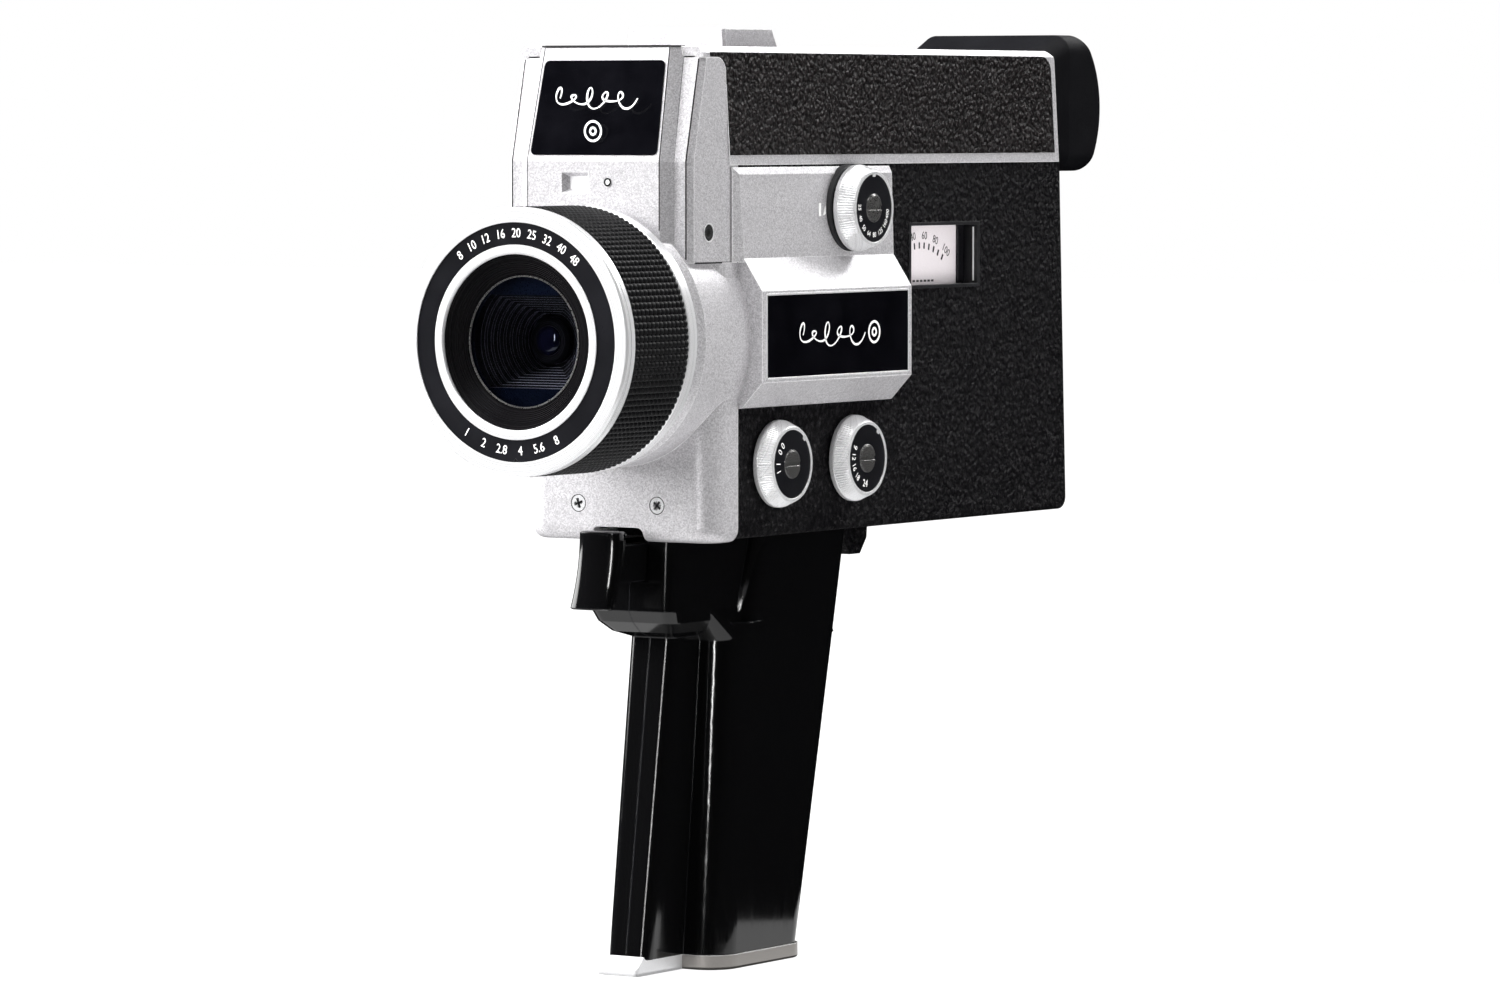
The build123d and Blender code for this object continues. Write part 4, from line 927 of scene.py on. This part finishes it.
rings = [trigger_ring(TRIGGER_TOP, 0.35)]
blade_levels = 14
for level in range(blade_levels + 1):
    share = level / blade_levels
    rings.append(trigger_ring(TRIGGER_TOP - 0.3 - share * (TRIGGER_TOP - TRIGGER_FOOT - 0.6), 0.0))
rings.append(trigger_ring(TRIGGER_FOOT, 0.35))
stem = block(at(-4.6, 33.8, -55.4), at(4.6, 57.5, -46.9))
points, faces = joined([skinned(rings), stem])
trigger_skin = piece("trigger_skin", points, faces, "trigger", "gloss_black", smooth=50.0)
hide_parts("trigger")


# ---------------------------------------------------------------- joints between the shells, with painted shade in them


def strip(start, end, out, width, proud=0.05):
    """Thin bar along a seam from start to end, width in mm across it, standing proud along out."""
    run = (end - start).normalized()
    out = out.normalized()
    side = run.cross(out).normalized() * (width * MM / 2)
    lift = out * (proud * MM)
    sunk = out * (-0.2 * MM)
    points = []
    for place in (start, end):
        points += [place - side + sunk, place + side + sunk, place + side + lift, place - side + lift]
    faces = [(0, 1, 2, 3), (7, 6, 5, 4), (0, 4, 5, 1), (1, 5, 6, 2), (2, 6, 7, 3), (3, 7, 4, 0)]
    return points, faces


RIGHT = Vector((1, 0, 0))
KNEE = 40.0
SLOPE = 0.2317
PROW_TOP = 65.9
PROW_BACK = 37.05
WING_FRONT = 33.3
# Black strips along the seams and the prow's top edge: painted shade in the gaps.
painted_shade_black = smooth_black("painted_shade_black", (0.003, 0.003, 0.003), 0.5)


def slanted(x, depth, height):
    """Point on an upright front face that leans back above the knee."""
    return at(x, depth + SLOPE * max(0.0, height - KNEE), height)


parts = []
for hand in (1, -1):
    slant = Vector((hand, -1, 0.2))
    for x, depth, low, high, width in (
        (17.95, 31.0, 24.5, 65.6, 0.22),
        (20.35, 33.25, 21.5, 63.3, 0.4),
        (23.6, WING_FRONT, 18.0, 63.0, 0.3),
    ):
        lean = 1.0 / (PROW_TOP - KNEE) if depth < WING_FRONT else 0.0
        parts.append(strip(slanted(hand * x, depth, low), slanted(hand * x, depth, KNEE), slant, width))
        top = slanted(hand * (x - lean * (high - KNEE)), depth, high)
        parts.append(strip(slanted(hand * x, depth, KNEE), top, slant, width))
    # Painted shade along the parting line, rear edge of the wing and top corner of the prow
    for start, end, out, width in (
        ((25.05, 34.8, 17.2), (25.97, 51.2, 17.2), (1, -0.05, 0), 0.35),
        ((25.72, 47.7, 41.4), (25.0, 47.7, 60.2), (1, 0, 0), 0.3),
        ((17.0, PROW_BACK, PROW_TOP), (19.5, 39.35, PROW_TOP), (0.6, -0.7, 1), 0.5),
    ):
        near = at(hand * start[0], start[1], start[2])
        far = at(hand * end[0], end[1], end[2])
        parts.append(strip(near, far, Vector((hand * out[0], out[1], out[2])), width))
prow_edge = [at(x, PROW_BACK, PROW_TOP) for x in (-17.0, 17.0)]
parts.append(strip(*prow_edge, Vector((0, -1, 1)), 0.6))
points, faces = joined(parts)
piece("shell_seam_shade", points, faces, "camera", "matte_black", painted_shade_black)

# Bright border around the side nameplate
plate_front = 53.0
plate_rear = 114.5
plate_low = -9.2
plate_top = 9.9
border = 0.5
face_x = side_high.x / MM - 0.1
corners = [(plate_front, plate_low), (plate_rear, plate_low),
           (plate_rear, plate_top), (plate_front, plate_top)]
parts = []
for index in range(4):
    start = corners[index]
    end = corners[(index + 1) % 4]
    parts.append(strip(at(face_x, *start), at(face_x, *end), RIGHT, border, 0.12))
points, faces = joined(parts)
piece("side_plate_border", points, faces, "camera", "bright_ring")

# ---------------------------------------------------------------- small fittings

# Painted shade: black cross and ring on each front screw and a ring around the status lamp, where the slots
# and gaps lie in shade
SCREW_HEIGHT = -37.9
CROSS_HALF = 1.15
screw_face = at(0, 41.0, 0)
parts = []
for x, spin in ((-10.7, 20.0), (10.7, 50.0)):
    for quarter in (0, 90):
        turn = math.radians(spin + quarter)
        run = (CROSS_HALF * math.cos(turn), CROSS_HALF * math.sin(turn))
        line = [(x - run[0], SCREW_HEIGHT - run[1]), (x + run[0], SCREW_HEIGHT + run[1])]
        parts.append(stroke(line, lambda share: 0.55, 0.03, FACING_FRONT, screw_face))
    recess = ring_line((x, SCREW_HEIGHT), 1.95)
    parts.append(stroke(recess, lambda share: 0.2, 0.03, FACING_FRONT, screw_face))
parts.append(stroke(ring_line((4.1, 35.3), 0.78), lambda share: 0.42, 0.05, FACING_FRONT, at(0, 30.9, 0)))
points, faces = joined(parts)
piece("screw_and_lamp_shade_marks", points, faces, "camera", "matte_black", painted_shade_black)

grommet_place = at(25.32, 40.1, 24.0)
points, faces = stroke(ring_line((0, 0), 2.05), lambda share: 0.28, 0.1, FACING_RIGHT, grommet_place)
piece("grommet_rim", points, faces, "camera", "bright_ring")

# Index for the filter dial, printed on the housing
index_origin = at(27.3, 83.9, 28.7)
index_bar = stroke([(0, -1.5), (0, 1.5)], lambda share: 0.8, 0.12, FACING_RIGHT, index_origin)
index_arrow = extruded([(1.3, -1.4), (2.5, -1.0), (2.5, 0.9)], 0.12, FACING_RIGHT, index_origin)
points, faces = joined([index_bar, index_arrow])
piece("filter_index", points, faces, "camera", "silver_paint", ink_white)

# Bright bead around the front glass, and the domed front of the small lens
glass_rim = [(3.4, 14.5), (3.4, 14.82), (3.8, 14.82), (3.8, 14.5)]
points, faces = turned(glass_rim, (0, FRONT, AXIS_Z), "Y", 160)
piece("glass_rim", points, faces, "camera", "bright_steel")

dome_radius = 3.3
dome = [(14.1, 0.0), (14.1, dome_radius)]
for step in range(13):
    turn = math.radians(90.0 * step / 12)
    dome.append((13.7 - 1.4 * math.sin(turn), dome_radius * math.cos(turn)))
points, faces = turned(dome, (0, FRONT, AXIS_Z), "Y", 64)
dome_glass = smooth_black("small_lens_glass", (0.002, 0.002, 0.006), 0.04, 3.0, 0.0005)
piece("small_lens", points, faces, "camera", "black_optics", dome_glass)

# ---------------------------------------------------------------- floor, lights and camera

floor_size = 6.0
floor_points = [(x * floor_size, y * floor_size, 0) for x, y in ((-1, -1), (1, -1), (1, 1), (-1, 1))]
floor_mesh = bpy.data.meshes.new("floor")
floor_mesh.from_pydata(floor_points, [], [(0, 1, 2, 3)])
floor = bpy.data.objects.new("floor", floor_mesh)
bpy.context.scene.collection.objects.link(floor)
floor_finish = Finish("floor_pale", (0.08, 0.08, 0.08), 0.9)
floor_finish.set("Emission Color", (1, 1, 1, 1))
far_from_middle = floor_finish.add("ShaderNodeVectorMath", operation="LENGTH")
floor_finish.join(floor_finish.place, far_from_middle.inputs[0])
glow = floor_finish.spread(far_from_middle.outputs["Value"], 0.25, 0.9, 0.97, 1.05)
floor_finish.join(glow, floor_finish.shader.inputs["Emission Strength"])
floor_mesh.materials.append(floor_finish.material)
floor.visible_glossy = False

world = bpy.data.worlds.new("studio")
bpy.context.scene.world = world
world.use_nodes = True
world.node_tree.nodes["Background"].inputs["Color"].default_value = (1, 1, 1, 1)
world.node_tree.nodes["Background"].inputs["Strength"].default_value = 1.0
world.cycles_visibility.glossy = False
world.cycles_visibility.diffuse = False

TARGET = Vector((0.0, 0.0, 0.12))


def lamp(name, azimuth, elevation, distance, width, height, power, colour=(1, 1, 1)):
    """Soft rectangular light aimed at the camera body, which the camera doesn't see.

    Azimuth 0 is in front of the lens and 90 on the dial side.
    """
    light = bpy.data.lights.new(name, "AREA")
    light.shape = "RECTANGLE"
    light.size = width
    light.size_y = height
    light.energy = power
    light.color = colour
    turn = math.radians(azimuth)
    rise = math.radians(elevation)
    away = Vector((math.sin(turn) * math.cos(rise), -math.cos(turn) * math.cos(rise), math.sin(rise)))
    holder = bpy.data.objects.new(name, light)
    holder.location = TARGET + away * distance
    holder.rotation_mode = "QUATERNION"
    holder.rotation_quaternion = away.to_track_quat("Z", "Y")
    bpy.context.scene.collection.objects.link(holder)
    holder.visible_camera = False
    return holder


# Broad lights that shade the paint but leave no patch on polished faces
for soft in (
    lamp("key_left", -66, 24, 1.6, 1.2, 1.5, 190),
    lamp("side_rear", 142, 10, 1.7, 1.6, 1.6, 25),
    lamp("top_soft", 20, 82, 1.5, 1.6, 1.6, 46),
):
    soft.visible_glossy = False
# Lights seen only in reflections: tall strips for the lines on rounded corners, and panels for the metal
for shine in (
    lamp("strip_front", 4, 14, 1.5, 0.09, 0.7, 7),
    lamp("panel_left", -82, 22, 1.6, 0.8, 1.2, 22),
    lamp("panel_top", 30, 72, 1.5, 0.9, 0.7, 14),
    lamp("panel_rear_high", 172, 36, 1.5, 1.0, 0.35, 12),
):
    shine.visible_diffuse = False
front_glow = lamp("floor_reflected", 40, -89.9, 0.1195, 0.34, 0.34, 0.4)
front_glow.location.y -= 0.12
front_glow.visible_diffuse = False
# Low light on the dial side, slanting up from the floor
bounce = lamp("floor_bounce_right", 90, -25.0, 0.25, 0.3, 0.4, 1.1)
bounce.location.z = 0.002
bounce.visible_glossy = False

camera_data = bpy.data.cameras.new("camera")
camera_data.sensor_width = 36.0
camera_data.lens = 167.84
camera_data.clip_start = 0.05
camera_data.clip_end = 50.0
camera = bpy.data.objects.new("camera", camera_data)
bpy.context.scene.collection.objects.link(camera)
VIEW_TURN = math.radians(32.571)
VIEW_RISE = math.radians(3.134)
view_target = Vector((0.0, 0.0199, 0.1060))
VIEW_DISTANCE = 1.6358
view_away = Vector((math.sin(VIEW_TURN) * math.cos(VIEW_RISE),
                    -math.cos(VIEW_TURN) * math.cos(VIEW_RISE),
                    math.sin(VIEW_RISE)))
camera.location = view_target + view_away * VIEW_DISTANCE
camera.rotation_mode = "QUATERNION"
camera.rotation_quaternion = view_away.to_track_quat("Z", "Y")
bpy.context.scene.camera = camera
bpy.context.scene.view_settings.view_transform = "Standard"
